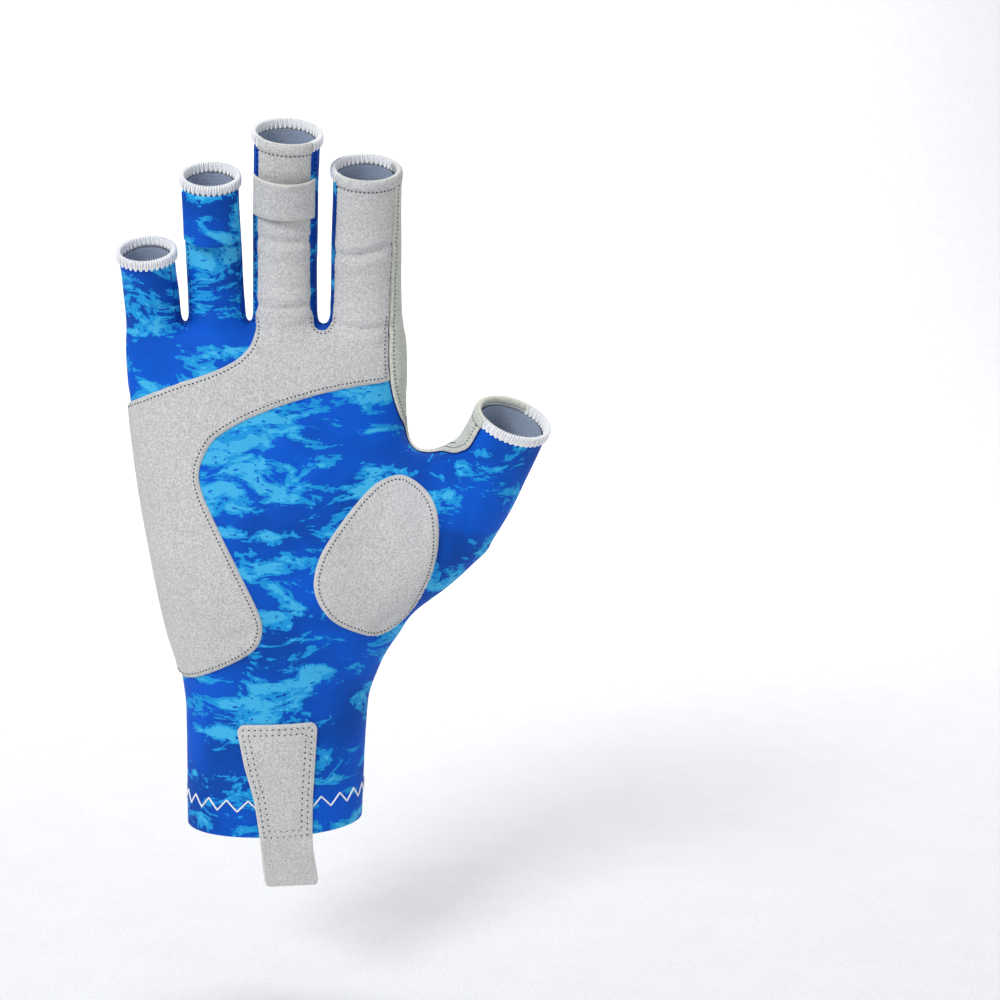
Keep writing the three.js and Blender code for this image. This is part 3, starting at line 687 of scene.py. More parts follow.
def turn_field(skin, digit, start, stop):
    """How far a point lies inside a stretch of turn round a digit, where leather covers it."""
    v = skin.values
    angle = np.arctan2(v["v"] / np.maximum(v["deep"], 1), v["u"] / np.maximum(v["wide"], 1))
    share = np.clip(v["s"] / digit.length, 0, 1)
    radius = (v["wide"] + v["deep"]) / 2
    start, stop = start(share), stop(share)
    middle = (start + stop) / 2
    off = np.abs((angle - middle + math.pi) % (2 * math.pi) - math.pi)
    inside = np.minimum(((stop - start) / 2 - off) * radius, v["s"] - LEATHER_FROM)
    return np.where(owned(skin, digit), inside, -FAR)


def front_turn(share):
    """The turn on the palm side that a share of the half width stands for."""
    return -np.arccos(np.clip(share, -1, 1))


def border_turn(pair, side=1):
    """The turn of a border along a digit, with side -1 for one on the back."""
    return lambda share: side * front_turn(lerp(pair, share))


def thumb_border(across, since, side, past=1.12, count=12):
    """Where a border of the leather runs up the thumb, seen from the palm side."""
    share = np.linspace(since, past, count)
    s = share * THUMB_STALL.length
    wide, deep = THUMB_STALL.half(s)
    u = lerp(across, np.clip(share, 0, 1))
    return THUMB_STALL.point(s, u * wide, side * np.sqrt(1 - u * u) * deep)[:, [0, 2]]


def strip_outline(curve, number, side):
    """The strip's outline from the index finger round the crotch and up the thumb."""
    beyond = np.array([(1.25 * KNUCKLE_WIDTH / 2, 1.08 * PALM_LENGTH)])
    border = thumb_border(THUMB_STRIP[number], THUMB_STRIP_FROM[number], side)
    return np.vstack([outline((curve,)), border, beyond])


def patch_fields(skin):
    """How far each point lies inside the palm patch, the thumb pad and the thumb strip."""
    x, y, z = skin.points.T
    normal_y = skin.values["normal"][:, 1]
    palm = skin.values["owner"] < 0.5
    front = np.where(palm, hand_half(z)[3] - y - SEAM_GAP, np.where(normal_y < 0.3, 9.0, -9.0))
    patch = inside_by(outline(PALM_PATCH), x, z)
    for digit, (left, right) in ((MIDDLE, MIDDLE_LEATHER), (INDEX, INDEX_LEATHER)):
        patch = np.maximum(patch, turn_field(skin, digit, border_turn(left), border_turn(right)))
    pad = inside_by(outline(THUMB_PAD), x, z)
    strip = np.where(normal_y < 0, inside_by(strip_outline(STRIP_FRONT, 0, -1), x, z),
                     inside_by(strip_outline(STRIP_BACK, 1, 1), x, z))
    left, right = INDEX_STRIP
    strip = skin.soften(np.maximum(
        strip, turn_field(skin, INDEX, border_turn(left), border_turn(right, -1))))
    patch = skin.soften(np.minimum(np.minimum(patch, front), -webs_field(skin)))
    return {"palm_patch": np.minimum(patch, -strip - LEATHER_JOINT),
            "thumb_pad": np.minimum(pad, front), "thumb_index_strip": strip}


def webs_field(skin):
    """How far each point lies inside the side strips between the fingers."""
    owner = np.round(skin.values["owner"])
    x, y, z = skin.points.T
    root_y = LITTLE.at[0][1]
    depth = np.where(owner == 0, y - root_y, skin.values["v"])
    u = skin.values["u"]
    facing = (owner == 2) | (owner == 3) | ((owner == 1) & (u > 0)) | ((owner == 4) & (u < 0))
    top = (owner == 0) & (z > PALM_LENGTH - 4) & (x > LITTLE.at[0][0]) & (x < INDEX.at[0][0])
    return np.where(facing | top, STRIP_WIDTH / 2 - np.abs(depth), -FAR)


# Materials.

def node_group(name, *labels):
    """An empty shader node group that puts out numbers, and its output node."""
    group = bpy.data.node_groups.new(name, "ShaderNodeTree")
    for label in labels:
        group.interface.new_socket(label, in_out="OUTPUT", socket_type="NodeSocketFloat")
    return group, group.nodes.new("NodeGroupOutput")


def add(tree, kind, inputs=None, **settings):
    """A node with its settings and inputs. An input is a number, a colour or another socket."""
    node = tree.nodes.new(kind)
    for key, value in settings.items():
        setattr(node, key, value)
    for key, value in (inputs or {}).items():
        socket = node.inputs[key]
        if isinstance(value, bpy.types.NodeSocket):
            tree.links.new(value, socket)
        else:
            socket.default_value = value
    return node


def stretched(tree, scale=(1, 1, 1), turn=(0, 0, 0)):
    """Object coordinates, turned and stretched."""
    where = add(tree, "ShaderNodeTexCoord").outputs["Object"]
    return add(tree, "ShaderNodeMapping",
               {"Vector": where, "Scale": scale, "Rotation": turn}).outputs[0]


def noise(tree, vector, scale, detail, output=0, **inputs):
    """A noise texture's value, or its colour."""
    return add(tree, "ShaderNodeTexNoise", {"Vector": vector, "Scale": scale, "Detail": detail,
                                            **inputs}).outputs[output]


def ramp(tree, value, low, high, kind="LINEAR"):
    """The value's way from low to high, as a share."""
    return add(tree, "ShaderNodeMapRange", {"Value": value, 1: low, 2: high},
               interpolation_type=kind).outputs[0]


def step_mask(tree, value, low, high):
    """A mask that is 0 below low and 1 above high."""
    return ramp(tree, value, low, high, "SMOOTHSTEP")


def combine(tree, operation, a, b):
    """Two numbers, each a socket or a value, added or multiplied."""
    return add(tree, "ShaderNodeMath", {0: a, 1: b}, operation=operation).outputs[0]


def mix_color(tree, share, low, high, blend="MIX"):
    """Two colours, each a socket or three channels, mixed by a share."""
    low, high = (color if isinstance(color, bpy.types.NodeSocket) else (*color, 1)
                 for color in (low, high))
    return add(tree, "ShaderNodeMixRGB", {0: share, 1: low, 2: high}, blend_type=blend).outputs[0]


def shade(color, factor):
    """The colour made darker or paler by a factor."""
    return tuple(min(factor * channel, 1) for channel in color)


def camo_group():
    """Masks of the camouflage: light blotches, brighter ones in them, and the ground's depth."""
    group, out = node_group("Camouflage", "Light", "Bright", "Ground")
    warp = noise(group, stretched(group), 34.0, 2.0, "Color")
    bent = mix_color(group, 0.024, stretched(group, (0.85, 0.85, 2.0), (0, 0.3, 0)), warp, "ADD")
    blotch = noise(group, bent, 68.0, 7.0, Roughness=0.64, Distortion=0.35)
    zone = noise(group, bent, 24.0, 1.0)
    grain = noise(group, bent, 560.0, 2.0)
    level = combine(group, "ADD", blotch, combine(group, "MULTIPLY", zone, 0.3))
    level = combine(group, "ADD", level, combine(group, "MULTIPLY", grain, 0.1))
    pins = step_mask(group, grain, 0.33, 0.37)
    ground = noise(group, stretched(group, (1, 1, 1.4)), 30.0, 3.0)
    for label, mask in (
            ("Light", combine(group, "MULTIPLY", step_mask(group, level, 0.727, 0.736), pins)),
            ("Bright", combine(group, "MULTIPLY", step_mask(group, level, 0.775, 0.8), pins)),
            ("Ground", step_mask(group, ground, 0.35, 0.65))):
        group.links.new(mask, out.inputs[label])
    return group


def knit_group():
    """The height of a fine knit: its rows, its wales and some fuzz."""
    group, out = node_group("Fine knit", "Height")
    waves = [add(group, "ShaderNodeTexWave", {"Vector": stretched(group), "Scale": scale,
                                              "Distortion": bend, "Detail": 1.0},
                 bands_direction=way).outputs["Fac"]
             for scale, bend, way in ((330.0, 1.2, "Z"), (380.0, 0.8, "X"))]
    fuzz = noise(group, stretched(group), 2600.0, 2.0)
    height = combine(group, "ADD", combine(group, "ADD", *waves), fuzz)
    group.links.new(height, out.inputs["Height"])
    return group


def suede_group():
    """The height of a suede's nap and the soft mottling of its colour."""
    group, out = node_group("Suede", "Height", "Mottle")
    nap = noise(group, stretched(group), 1800.0, 2.0, Roughness=0.6)
    coarse = noise(group, stretched(group), 420.0, 3.0, Roughness=0.6)
    cloud = noise(group, stretched(group), 60.0, 3.0)
    group.links.new(combine(group, "ADD", nap, coarse), out.inputs["Height"])
    spots, clouds = (combine(group, "MULTIPLY", value, share)
                     for value, share in ((coarse, 0.12), (cloud, 0.1)))
    mottle = combine(group, "ADD", combine(group, "MULTIPLY", nap, 0.9),
                     combine(group, "ADD", spots, clouds))
    group.links.new(mottle, out.inputs["Mottle"])
    return group


GROUPS = {"Camouflage": camo_group, "Fine knit": knit_group, "Suede": suede_group}


def group_node(tree, name):
    """A node of the group with that name, which is made when it is first asked for."""
    return add(tree, "ShaderNodeGroup",
               node_tree=bpy.data.node_groups.get(name) or GROUPS[name]())


def base_material(name, color, roughness, height, strength, depth, **inputs):
    """A material with a colour and a relief, `depth` in metres, from its node tree."""
    made = bpy.data.materials.new(name)
    made.use_nodes = True
    tree = made.node_tree
    surface = tree.nodes["Principled BSDF"]
    inputs = {"Roughness": roughness, "Specular IOR Level": 0.25, **inputs}
    for key, value in inputs.items():
        surface.inputs[key].default_value = value
    tree.links.new(color(tree), surface.inputs["Base Color"])
    bump = add(tree, "ShaderNodeBump", {"Height": group_node(tree, height).outputs["Height"],
                                        "Strength": strength, "Distance": depth})
    tree.links.new(bump.outputs[0], surface.inputs["Normal"])
    return made


def camo_material(name, dark, light, bright):
    """The printed knit, its ground in two depths of the dark colour."""
    def color(tree):
        masks = group_node(tree, "Camouflage").outputs
        ground = mix_color(tree, masks["Ground"], shade(dark, 0.62), dark)
        lit = mix_color(tree, masks["Light"], ground, light)
        return mix_color(tree, masks["Bright"], lit, bright)
    return base_material(name, color, 0.72, "Fine knit", 0.25, 0.00012,
                         **{"Specular IOR Level": 0.15})


def leather_material(name, leather, edge):
    """Suede leather. The attribute `rim` is the distance from the piece's edge in millimetres."""
    def color(tree):
        mottle = group_node(tree, "Suede").outputs["Mottle"]
        nap = mix_color(tree, ramp(tree, mottle, 0.43, 0.68), shade(leather, 0.71),
                        shade(leather, 1.08))
        rim = add(tree, "ShaderNodeAttribute", attribute_name="rim").outputs["Fac"]
        at_edge = combine(tree, "MULTIPLY", ramp(tree, rim, 0.75, 0.1), 0.55)
        return mix_color(tree, at_edge, nap, edge)
    return base_material(name, color, 0.92, "Suede", 0.5, 0.00022, **{"Sheen Weight": 0.15})


def fibre_material(name, fibre, relief="Suede", strength=0.4, roughness=0.85, wear=0.78):
    """Thread or cloth of one colour, with its fibres' light and dark and their relief."""
    def color(tree):
        mottle = group_node(tree, "Suede").outputs["Mottle"]
        return mix_color(tree, ramp(tree, mottle, 0.4, 0.75), shade(fibre, wear), fibre)
    return base_material(name, color, roughness, relief, strength, 0.00015)


def palette(name):
    """The material of that name, made when it is first asked for."""
    props = bpy.context.scene.glove
    make, *given = {
        "camouflage_knit": (camo_material, props.cloth_dark, props.cloth_light,
                            props.cloth_bright),
        "suede": (leather_material, props.leather, (0.76, 0.72, 0.64)),
        "strip_suede": (leather_material, props.strip_leather, (0.76, 0.73, 0.62)),
        "lining_cloth": (fibre_material, props.lining, "Fine knit", 0.15, 0.95),
        "white_thread": (fibre_material, props.thread, "Suede", 0.4, 0.85, 0.93),
        "stitch_holes": (fibre_material, props.stitches),
        "dark_blue_thread": (fibre_material, props.seam_thread),
        "studio_floor": (fibre_material, (0.86, 0.86, 0.87), "Suede", 0.4, 0.9),
    }[name]
    return bpy.data.materials.get(name) or make(name, *given)


def finish_piece(obj, material, nodes=()):
    """Gives a piece its material if it has none and its body, and hides the CAD nodes
    that it stands for."""
    if not obj.data.materials:
        obj.data.materials.append(palette(material))
    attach(obj, BODY)
    if nodes:
        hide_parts(*nodes)
    return obj


# Rows of stitches.

def row_group():
    """Geometry nodes: sets a unit at even steps along a rail, upright on the surface."""
    tree = bpy.data.node_groups.get("Stitch row")
    if tree:
        return tree
    tree = bpy.data.node_groups.new("Stitch row", "GeometryNodeTree")
    for label, kind in (("Geometry", "Geometry"), ("Unit", "Object"), ("Spacing", "Float"),
                        ("Turn", "Float"), ("Material", "Material")):
        tree.interface.new_socket(label, in_out="INPUT", socket_type="NodeSocket" + kind)
    tree.interface.new_socket("Geometry", in_out="OUTPUT", socket_type="NodeSocketGeometry")
    given = tree.nodes.new("NodeGroupInput").outputs
    rail = add(tree, "GeometryNodeMeshToCurve", {"Mesh": given["Geometry"]})
    even = add(tree, "GeometryNodeResampleCurve",
               {"Curve": rail.outputs[0], "Length": given["Spacing"]}, mode="LENGTH")
    outward = add(tree, "GeometryNodeInputNamedAttribute", {"Name": "outward"},
                  data_type="FLOAT_VECTOR")
    tangent = tree.nodes.new("GeometryNodeInputTangent")
    upright = add(tree, "FunctionNodeAxesToRotation",
                  {"Primary Axis": outward.outputs["Attribute"],
                   "Secondary Axis": tangent.outputs[0]}, primary_axis="Z", secondary_axis="X")
    # Every other unit turns the other way.
    index = tree.nodes.new("GeometryNodeInputIndex")
    odd = add(tree, "ShaderNodeMath", {0: index.outputs[0], 1: 2.0}, operation="MODULO")
    sign = add(tree, "ShaderNodeMath", {0: odd.outputs[0], 1: 2.0, 2: -1.0},
               operation="MULTIPLY_ADD")
    angle = combine(tree, "MULTIPLY", sign.outputs[0], given["Turn"])
    spin = add(tree, "FunctionNodeAxisAngleToRotation", {"Axis": (0, 0, 1), "Angle": angle})
    turned = add(tree, "FunctionNodeRotateRotation",
                 {"Rotation": upright.outputs[0], "Rotate By": spin.outputs[0]},
                 rotation_space="LOCAL")
    unit = add(tree, "GeometryNodeObjectInfo", {"Object": given["Unit"]})
    placed = add(tree, "GeometryNodeInstanceOnPoints",
                 {"Points": even.outputs[0], "Instance": unit.outputs["Geometry"],
                  "Rotation": turned.outputs[0]})
    real = add(tree, "GeometryNodeRealizeInstances", {"Geometry": placed.outputs[0]})
    painted = add(tree, "GeometryNodeSetMaterial",
                  {"Geometry": real.outputs[0], "Material": given["Material"]})
    smooth = add(tree, "GeometryNodeSetShadeSmooth", {"Geometry": painted.outputs[0]})
    tree.links.new(smooth.outputs[0], tree.nodes.new("NodeGroupOutput").inputs[0])
    return tree


def stitch_row(name, rail, unit, spacing, material, turn=0.0, lift=0.0):
    """Copies of a unit, given as points and faces, along a rail and `lift` off it, as a mesh."""
    points, outward, edges = rail
    obj = write_mesh("rail", points + lift * outward, (), {"outward": outward}, edges)
    copied = write_mesh("unit", *unit)
    modifier = obj.modifiers.new("row", "NODES")
    modifier.node_group = row_group()
    sockets = {item.name: item.identifier for item in modifier.node_group.interface.items_tree
               if item.in_out == "INPUT"}
    for label, value in (("Unit", copied), ("Spacing", spacing * MM), ("Turn", turn),
                         ("Material", palette(material))):
        modifier[sockets[label]] = value
    evaluated = obj.evaluated_get(bpy.context.evaluated_depsgraph_get())
    mesh = bpy.data.meshes.new_from_object(evaluated)
    mesh.name = name
    bpy.data.objects.remove(obj)
    bpy.data.objects.remove(copied)
    mesh.materials.clear()
    mesh.materials.append(palette(material))
    return place(name, mesh)


def join(name, objects):
    """One mesh object from several, with the first one's materials."""
    points, faces = [], []
    for obj in objects:
        mesh = obj.data
        faces += [[corner + len(points) for corner in face.vertices] for face in mesh.polygons]
        points += [vertex.co[:] for vertex in mesh.vertices]
    made = bpy.data.meshes.new(name)
    made.from_pydata(points, [], faces)
    made.shade_smooth()
    for material in objects[0].data.materials:
        made.materials.append(material)
    for obj in objects:
        bpy.data.objects.remove(obj)
    return place(name, made)


def swept(path, radius, sides, closed=False):
    """Points and faces of a tube along a path of points, in millimetres."""
    path = np.asarray(path, float)
    if closed:
        tangent = np.roll(path, -1, axis=0) - np.roll(path, 1, axis=0)
    else:
        tangent = np.gradient(path, axis=0)
    tangent /= np.linalg.norm(tangent, axis=1, keepdims=True)
    aside = np.array((0.31, 0.17, 0.93))        # no path here runs this way
    first = np.cross(tangent, aside)
    first /= np.linalg.norm(first, axis=1, keepdims=True)
    second = np.cross(tangent, first)
    turn = np.linspace(0, 2 * math.pi, sides, endpoint=False)
    rings = (path[:, None] + radius * (np.cos(turn)[None, :, None] * first[:, None]
                                       + np.sin(turn)[None, :, None] * second[:, None]))
    return grid_faces(rings, wrap_rows=closed, wrap_columns=True)


def grid_faces(grid, wrap_rows=False, wrap_columns=False):
    """Points and quads of a grid of points. Either way of it may close on itself."""
    rows, columns = grid.shape[:2]
    i, j = np.meshgrid(np.arange(rows if wrap_rows else rows - 1),
                       np.arange(columns if wrap_columns else columns - 1), indexing="ij")
    i, j = i.ravel(), j.ravel()
    up, right = (i + 1) % rows, (j + 1) % columns
    faces = np.stack([i * columns + j, i * columns + right, up * columns + right,
                      up * columns + j], axis=1)
    return grid.reshape(-1, 3), faces


def facing_out(points, faces):
    """The faces of a closed mesh, turned round if they point inwards."""
    faces = [list(face) for face in faces]
    volume = 0.0
    for face in faces:
        corners = points[face]
        volume += np.sum(np.cross(corners[1:-1], corners[2:]) @ corners[0])
    return faces if volume > 0 else [face[::-1] for face in faces]


def capped(points, faces, ring):
    """A tube's points and faces with both its ends, rings of that many points, closed."""
    first = list(range(ring))
    last = [corner + len(points) - ring for corner in reversed(first)]
    return points, facing_out(points, [*faces, first, last])


def loop_edges(count):
    """Edges that join that many points in a ring."""
    return np.stack([np.arange(count), (np.arange(count) + 1) % count], axis=1)


def bead(length, width, height, rows=5, sides=8):
    """Points and faces of a small rounded bead along X."""
    turn = np.linspace(0, 2 * math.pi, sides, endpoint=False)
    lift = np.linspace(-0.92, 0.92, rows)
    round_off = np.sqrt(1 - lift**2)
    grid = np.stack([np.outer(lift, np.ones(sides)) * length / 2,
                     np.outer(round_off, np.cos(turn)) * width / 2,
                     np.outer(round_off, np.sin(turn)) * height / 2], axis=-1)
    return capped(*grid_faces(grid, wrap_columns=True), sides)


# Units of the rows, their spacings and how far every other one is turned.
PIT = bead(0.66, 0.5, 0.34)
DASH = bead(1.25, 0.4, 0.34)
DASH_SPACING = 1.7
DASH_TURN = math.radians(22)
SEAM_CORD = bead(1.5, 0.85, 0.8)
BORDER_CORD = bead(1.1, 0.62, 0.5)
CORD_SPACING = 0.5
OVERLOCK = capped(*swept(OVERLOCK_PATH, 0.24, 5), 5)
OVERLOCK_TURN = math.radians(5)


# The pieces.

def clip_line(skin):
    """Above zero on the cloth, below zero past a finger's end or the cuff."""
    return np.minimum(skin.values["end"], skin.points[:, 2])


def build_cloth():
    """The shell as one skin, its lining and its seams."""
    skin = form()
    shell = skin.clip(clip_line(skin))
    obj = write_mesh("cloth_shell", shell.points, shell.triangles)
    finish_piece(obj, "camouflage_knit", (
        "palm_panel", "back_panel", "side_strip_little_ring", "side_strip_ring_middle",
        "side_strip_middle_index"))
    build_lining()
    build_seams(shell)


def build_lining():
    """The inside of the cloth, from the same distance field one wall further in."""
    skin = level_skin(form_field(), -CLOTH_WALL, LINING_STEP)
    skin.smooth(2)
    mark(skin)
    inner = skin.clip(np.minimum(skin.values["end"] + 0.1, skin.points[:, 2] - 0.5))
    inwards = np.sum(skin.values["normal"] * (skin.points - skin.points.mean(axis=0))) < 0
    triangles = inner.triangles if inwards else inner.triangles[:, ::-1]
    finish_piece(write_mesh("lining", inner.points, triangles), "lining_cloth")


def build_seams(shell):
    """The raised seams of the side strips, with their stitches."""
    line = shell.rail(shell.soften(webs_field(shell)))
    seam = stitch_row("strip_seams", line, SEAM_CORD, CORD_SPACING, "camouflage_knit",
                      lift=-0.05)
    finish_piece(seam, "camouflage_knit")
    row = stitch_row("strip_stitches", line, DASH, DASH_SPACING, "dark_blue_thread", DASH_TURN,
                     lift=0.38)
    finish_piece(row, "dark_blue_thread")


def rolled(distance, wall, radius):
    """The height of a sheet's surface near its rounded edge."""
    return wall * np.sqrt(1 - (1 - np.clip(distance / radius, 0, 1)) ** 2)


def groove(distance, inset, deep, half):
    """The depth of a row of stitches' groove, by the distance from the edge."""
    return deep * np.exp(-((distance - inset) / half) ** 2)


def build_leather():
    """The three leather pieces on the shell, their rows of stitches and the strip's seam."""
    skin = form()
    cut = clip_line(skin)
    spacing = bpy.context.scene.glove.stitch_spacing / MM
    for name, field in patch_fields(skin).items():
        piece = skin.clip(np.minimum(field, cut))
        edge = piece.border()
        edge = edge[piece.values["end"][edge].max(axis=1) >= 0.05]
        ends = piece.points[edge]
        border = np.vstack([ends[:, 0], ends[:, 1], ends.mean(axis=1)])
        rim = near_distance(piece.points, border)
        height = LEATHER_LIFT + rolled(rim, LEATHER_WALL - 0.05, EDGE_RADIUS)
        height -= groove(rim, STITCH_INSET, *GROOVE)
        strip = name == "thumb_index_strip"
        obj = write_mesh(name + "_suede", *piece.sheet(height), {"rim": np.tile(rim, 2)})
        finish_piece(obj, "strip_suede" if strip else "suede", (name,))
        piece.points = piece.points + piece.values["normal"] * height[:, None]
        lines = [piece.rail(rim - STITCH_INSET, on_palm if name == "palm_patch" else None)]
        if strip:
            lines.append(piece.rail(rim - SECOND_INSET, on_thumb))
            build_strip_seam(skin, field, cut)
        if name != "thumb_pad":
            lines.append(piece.rail(piece.values["end"] - END_INSET))
        rows = [stitch_row("row", line, PIT, spacing, "stitch_holes") for line in lines
                if len(line[2])]
        finish_piece(join("stitches_" + name, rows), "stitch_holes")


def build_strip_seam(skin, field, cut):
    """The dark seam where the strip meets the cloth and the palm leather."""
    points, outward, edges = skin.rail(field)
    inner = between(cut, *skin.crossings(field)[:3])
    edges = edges[(inner > 1)[edges].all(axis=1)]
    seam = stitch_row("strip_border_seam", (points, outward, edges), BORDER_CORD, CORD_SPACING,
                      "dark_blue_thread", lift=LEATHER_LIFT)
    finish_piece(seam, "dark_blue_thread")


def on_palm(points):
    """Which points lie below the fingers and clear of the glove's outer side."""
    _, y, z = points.T
    return (z < PALM_LENGTH + 3) & (hand_half(z)[3] - y > 3)


def on_thumb(points):
    """Which points lie on the thumb, and not far round on its palm side."""
    return (points[:, 0] > 44) & (THUMB_STALL.local(points)[2] > -1)


def ring_grid(digit, profile, start=-math.pi, stop=math.pi, count=96, taper=0.0):
    """Rings of a profile swept round a digit's end. The profile gives (out from the cloth,
    along from the end). With a taper, it sinks into the cloth at both ends of the sweep."""
    turns = np.linspace(start, stop, count, endpoint=abs(stop - start) < 6.28)
    rows = []
    for out, along in profile:
        grow = np.full(count, float(out))
        if taper:
            reach = np.minimum(turns - start, stop - turns) * 9
            grow -= (1 - rolled(reach, 1, taper)) * max(out - 0.4, 0)
        rows.append(digit.around(np.full(count, digit.length + along), turns, grow))
    return np.array(rows)


def fold_turns(digit):
    """The stretch of turn over which a digit's end has folded leather, or nothing."""
    if digit is MIDDLE:
        return front_turn(MIDDLE_LEATHER[0][1]), front_turn(MIDDLE_LEATHER[1][1])
    if digit is INDEX:
        return front_turn(INDEX_LEATHER[0][1]), -front_turn(INDEX_STRIP[1][1])
    if digit is THUMB_STALL:
        return -front_turn(THUMB_STRIP[1][1]), 2 * math.pi + front_turn(THUMB_STRIP[0][1])
    return None


def build_hems():
    """Overlock thread round the finger ends, except where leather is folded over them."""
    spacing = bpy.context.scene.glove.overlock_spacing / MM
    for digit in DIGITS:
        points, faces = grid_faces(ring_grid(digit, RIM_PROFILE), wrap_rows=True,
                                   wrap_columns=True)
        ring = write_mesh("ring", points, facing_out(points, faces))
        ring.data.materials.append(palette("white_thread"))
        folded = fold_turns(digit)
        start, stop = (folded[1], folded[0] + 2 * math.pi) if folded else (-math.pi, math.pi)
        turns = np.linspace(start, stop, RIM_POINTS, endpoint=bool(folded))
        s = np.full(RIM_POINTS, digit.length)
        _, _, across, back = digit.frame(s)
        outward = across * np.cos(turns)[:, None] + back * np.sin(turns)[:, None]
        edges = loop_edges(RIM_POINTS)[:-1 if folded else None]
        row = stitch_row("row", (digit.around(s, turns, RIM_OUT), outward, edges), OVERLOCK,
                         spacing, "white_thread", OVERLOCK_TURN)
        finish_piece(join("rim_" + digit.name, [ring, row]), "white_thread",
                     ("hem_" + digit.name,))
        if folded:
            build_fold(digit, *folded)


def build_fold(digit, start, stop):
    """Leather folded over a digit's end along a stretch of turn."""
    grid = ring_grid(digit, FOLD_PROFILE, start - 0.03, stop + 0.03, FOLD_COLUMNS, taper=1.0)
    points, faces = capped(*grid_faces(grid.transpose(1, 0, 2), wrap_columns=True),
                           len(FOLD_PROFILE))
    rim = np.tile([0.15 if along > -0.2 else 3.0 for _, along in FOLD_PROFILE], FOLD_COLUMNS)
    obj = write_mesh("fold_" + digit.name, points, faces, {"rim": rim})
    finish_piece(obj, "strip_suede" if digit is THUMB_STALL else "suede")


def round_cuff(turns, z, out):
    """Points at turns round the cuff at heights z, `out` from its outer face."""
    left, right, deep, middle, square = hand_half(np.maximum(z, 0.0))
    across, back = (np.copysign(np.abs(way) ** (2 / square), way)
                    for way in (np.cos(turns), np.sin(turns)))
    wide = np.where(across > 0, right, left) + out
    return np.stack([across * wide, middle + back * (deep + out), z], axis=1)


def build_cuff():
    """The cuff's folded edge, and the white zigzag thread that holds it."""
    turns = np.linspace(0, 2 * math.pi, CUFF_COLUMNS, endpoint=False)
    rings = [round_cuff(turns, np.full(CUFF_COLUMNS, z), -inset) for inset, z in CUFF_PROFILE]
    points, faces = grid_faces(np.array(rings), wrap_rows=True, wrap_columns=True)
    obj = write_mesh("cuff_edge", points, facing_out(points, faces))
    finish_piece(obj, "camouflage_knit", ("cuff_hem",))
    count = ZIGZAG_PEAKS * 2 * ZIGZAG_STEPS
    turns = np.linspace(0, 2 * math.pi, count, endpoint=False)
    saw = np.abs((np.arange(count) / ZIGZAG_STEPS) % 2 - 1) * 2 - 1
    path = round_cuff(turns, ZIGZAG_Z + ZIGZAG_HALF * saw, 0.12)
    points, faces = swept(path, ZIGZAG_RADIUS, 6, closed=True)
    obj = write_mesh("cuff_zigzag", points, facing_out(points, faces))
    finish_piece(obj, "white_thread")


def band_grid(digit, start, stop, sides, under, wall, loose, rows=22, columns=64):
    """A pull band over a digit's palm side: its face, its back and the distance from its edge."""
    row, part = np.meshgrid(np.linspace(0, 1, rows), np.linspace(0, 1, columns), indexing="ij")
    s = np.linspace(start, stop, rows)[:, None] + np.zeros(columns)
    share = np.clip(s / digit.length, 0, 1)
    first = -math.pi + np.arccos(-lerp(sides[0], share))
    last = -np.arccos(lerp(sides[1], share))
    turn = first + (last - first) * part
    slack = BAND_SLACK * np.sin(math.pi * part) * lerp(loose, row)
    from_edge = np.minimum(np.minimum(row, 1 - row) * (stop - start),
                           np.minimum(part, 1 - part) * (last - first) * digit.half(s)[0])
    round_off = wall / 2 - rolled(from_edge, wall / 2, THIN_EDGE_RADIUS)
    face, back = (digit.around(s, turn, under + slack + high)
                  for high in (wall - round_off, round_off))
    return face, back, from_edge


def write_sheet(name, face, back, from_edge):
    """A closed sheet from its face and its back, with the distance from its edge."""
    points, faces = grid_faces(face)
    count = len(points)
    number = np.arange(count).reshape(face.shape[:2])
    loop = [*number[0], *number[1:, -1], *number[-1, -2::-1], *number[-2:0:-1, 0]]
    walls = [[b, a, a + count, b + count] for a, b in zip(loop, loop[1:] + loop[:1])]
    faces = [*faces, *(faces[:, ::-1] + count), *walls]
    points = np.vstack([points, back.reshape(-1, 3)])
    return write_mesh(name, points, facing_out(points, faces),
                      {"rim": np.tile(from_edge.ravel(), 2)})


def build_bands():
    """The leather band on the middle finger and the cloth band on the ring finger."""
    top = MIDDLE.length - LEATHER_BAND_DROP
    band = band_grid(MIDDLE, top - LEATHER_BAND_HEIGHT, top, MIDDLE_LEATHER,
                     2 * SEAM_GAP + LEATHER_WALL, LEATHER_WALL, (0.7, 2.4))
    obj = write_sheet("middle_band_suede", *band)
    finish_piece(obj, "suede", ("middle_pull_band",))
    top = RING.cloth_end
    band = band_grid(RING, top - CLOTH_BAND_HEIGHT, top, RING_BAND, SEAM_GAP, CLOTH_WALL,
                     (1.7, 0.3))
    obj = write_sheet("ring_band_knit", *band)
    finish_piece(obj, "camouflage_knit", ("ring_pull_band",))


def tab_half(part):
    """Half the pull tab's width at a part of its length down."""
    return np.interp(part, TAB[:, 0], TAB[:, 2]) * TAB_WIDTH / 2


def tab_point(part, side, lift):
    """A place on the pull tab: part of its length down, side from -1 to 1, lift off the cuff."""
    x = TAB_WIDTH * np.interp(part, TAB[:, 0], TAB[:, 1]) + tab_half(part) * side
    z = TAB_LENGTH - TAB_HANG - part * TAB_LENGTH
    left, right, deep, middle, square = hand_half(np.maximum(z, 0))
    across = np.abs(x) / np.where(x > 0, right, left)
    on_cuff = middle - deep * (1 - across**square) ** (1 / square)
    _, _, edge_deep, edge_middle, _ = hand_half(np.array(0.0))
    hang = np.clip(-z / 3, 0, 1)
    y = on_cuff * (1 - hang) + (edge_middle - edge_deep) * hang
    return np.stack([x, y - SEAM_GAP - lift, z], axis=-1)


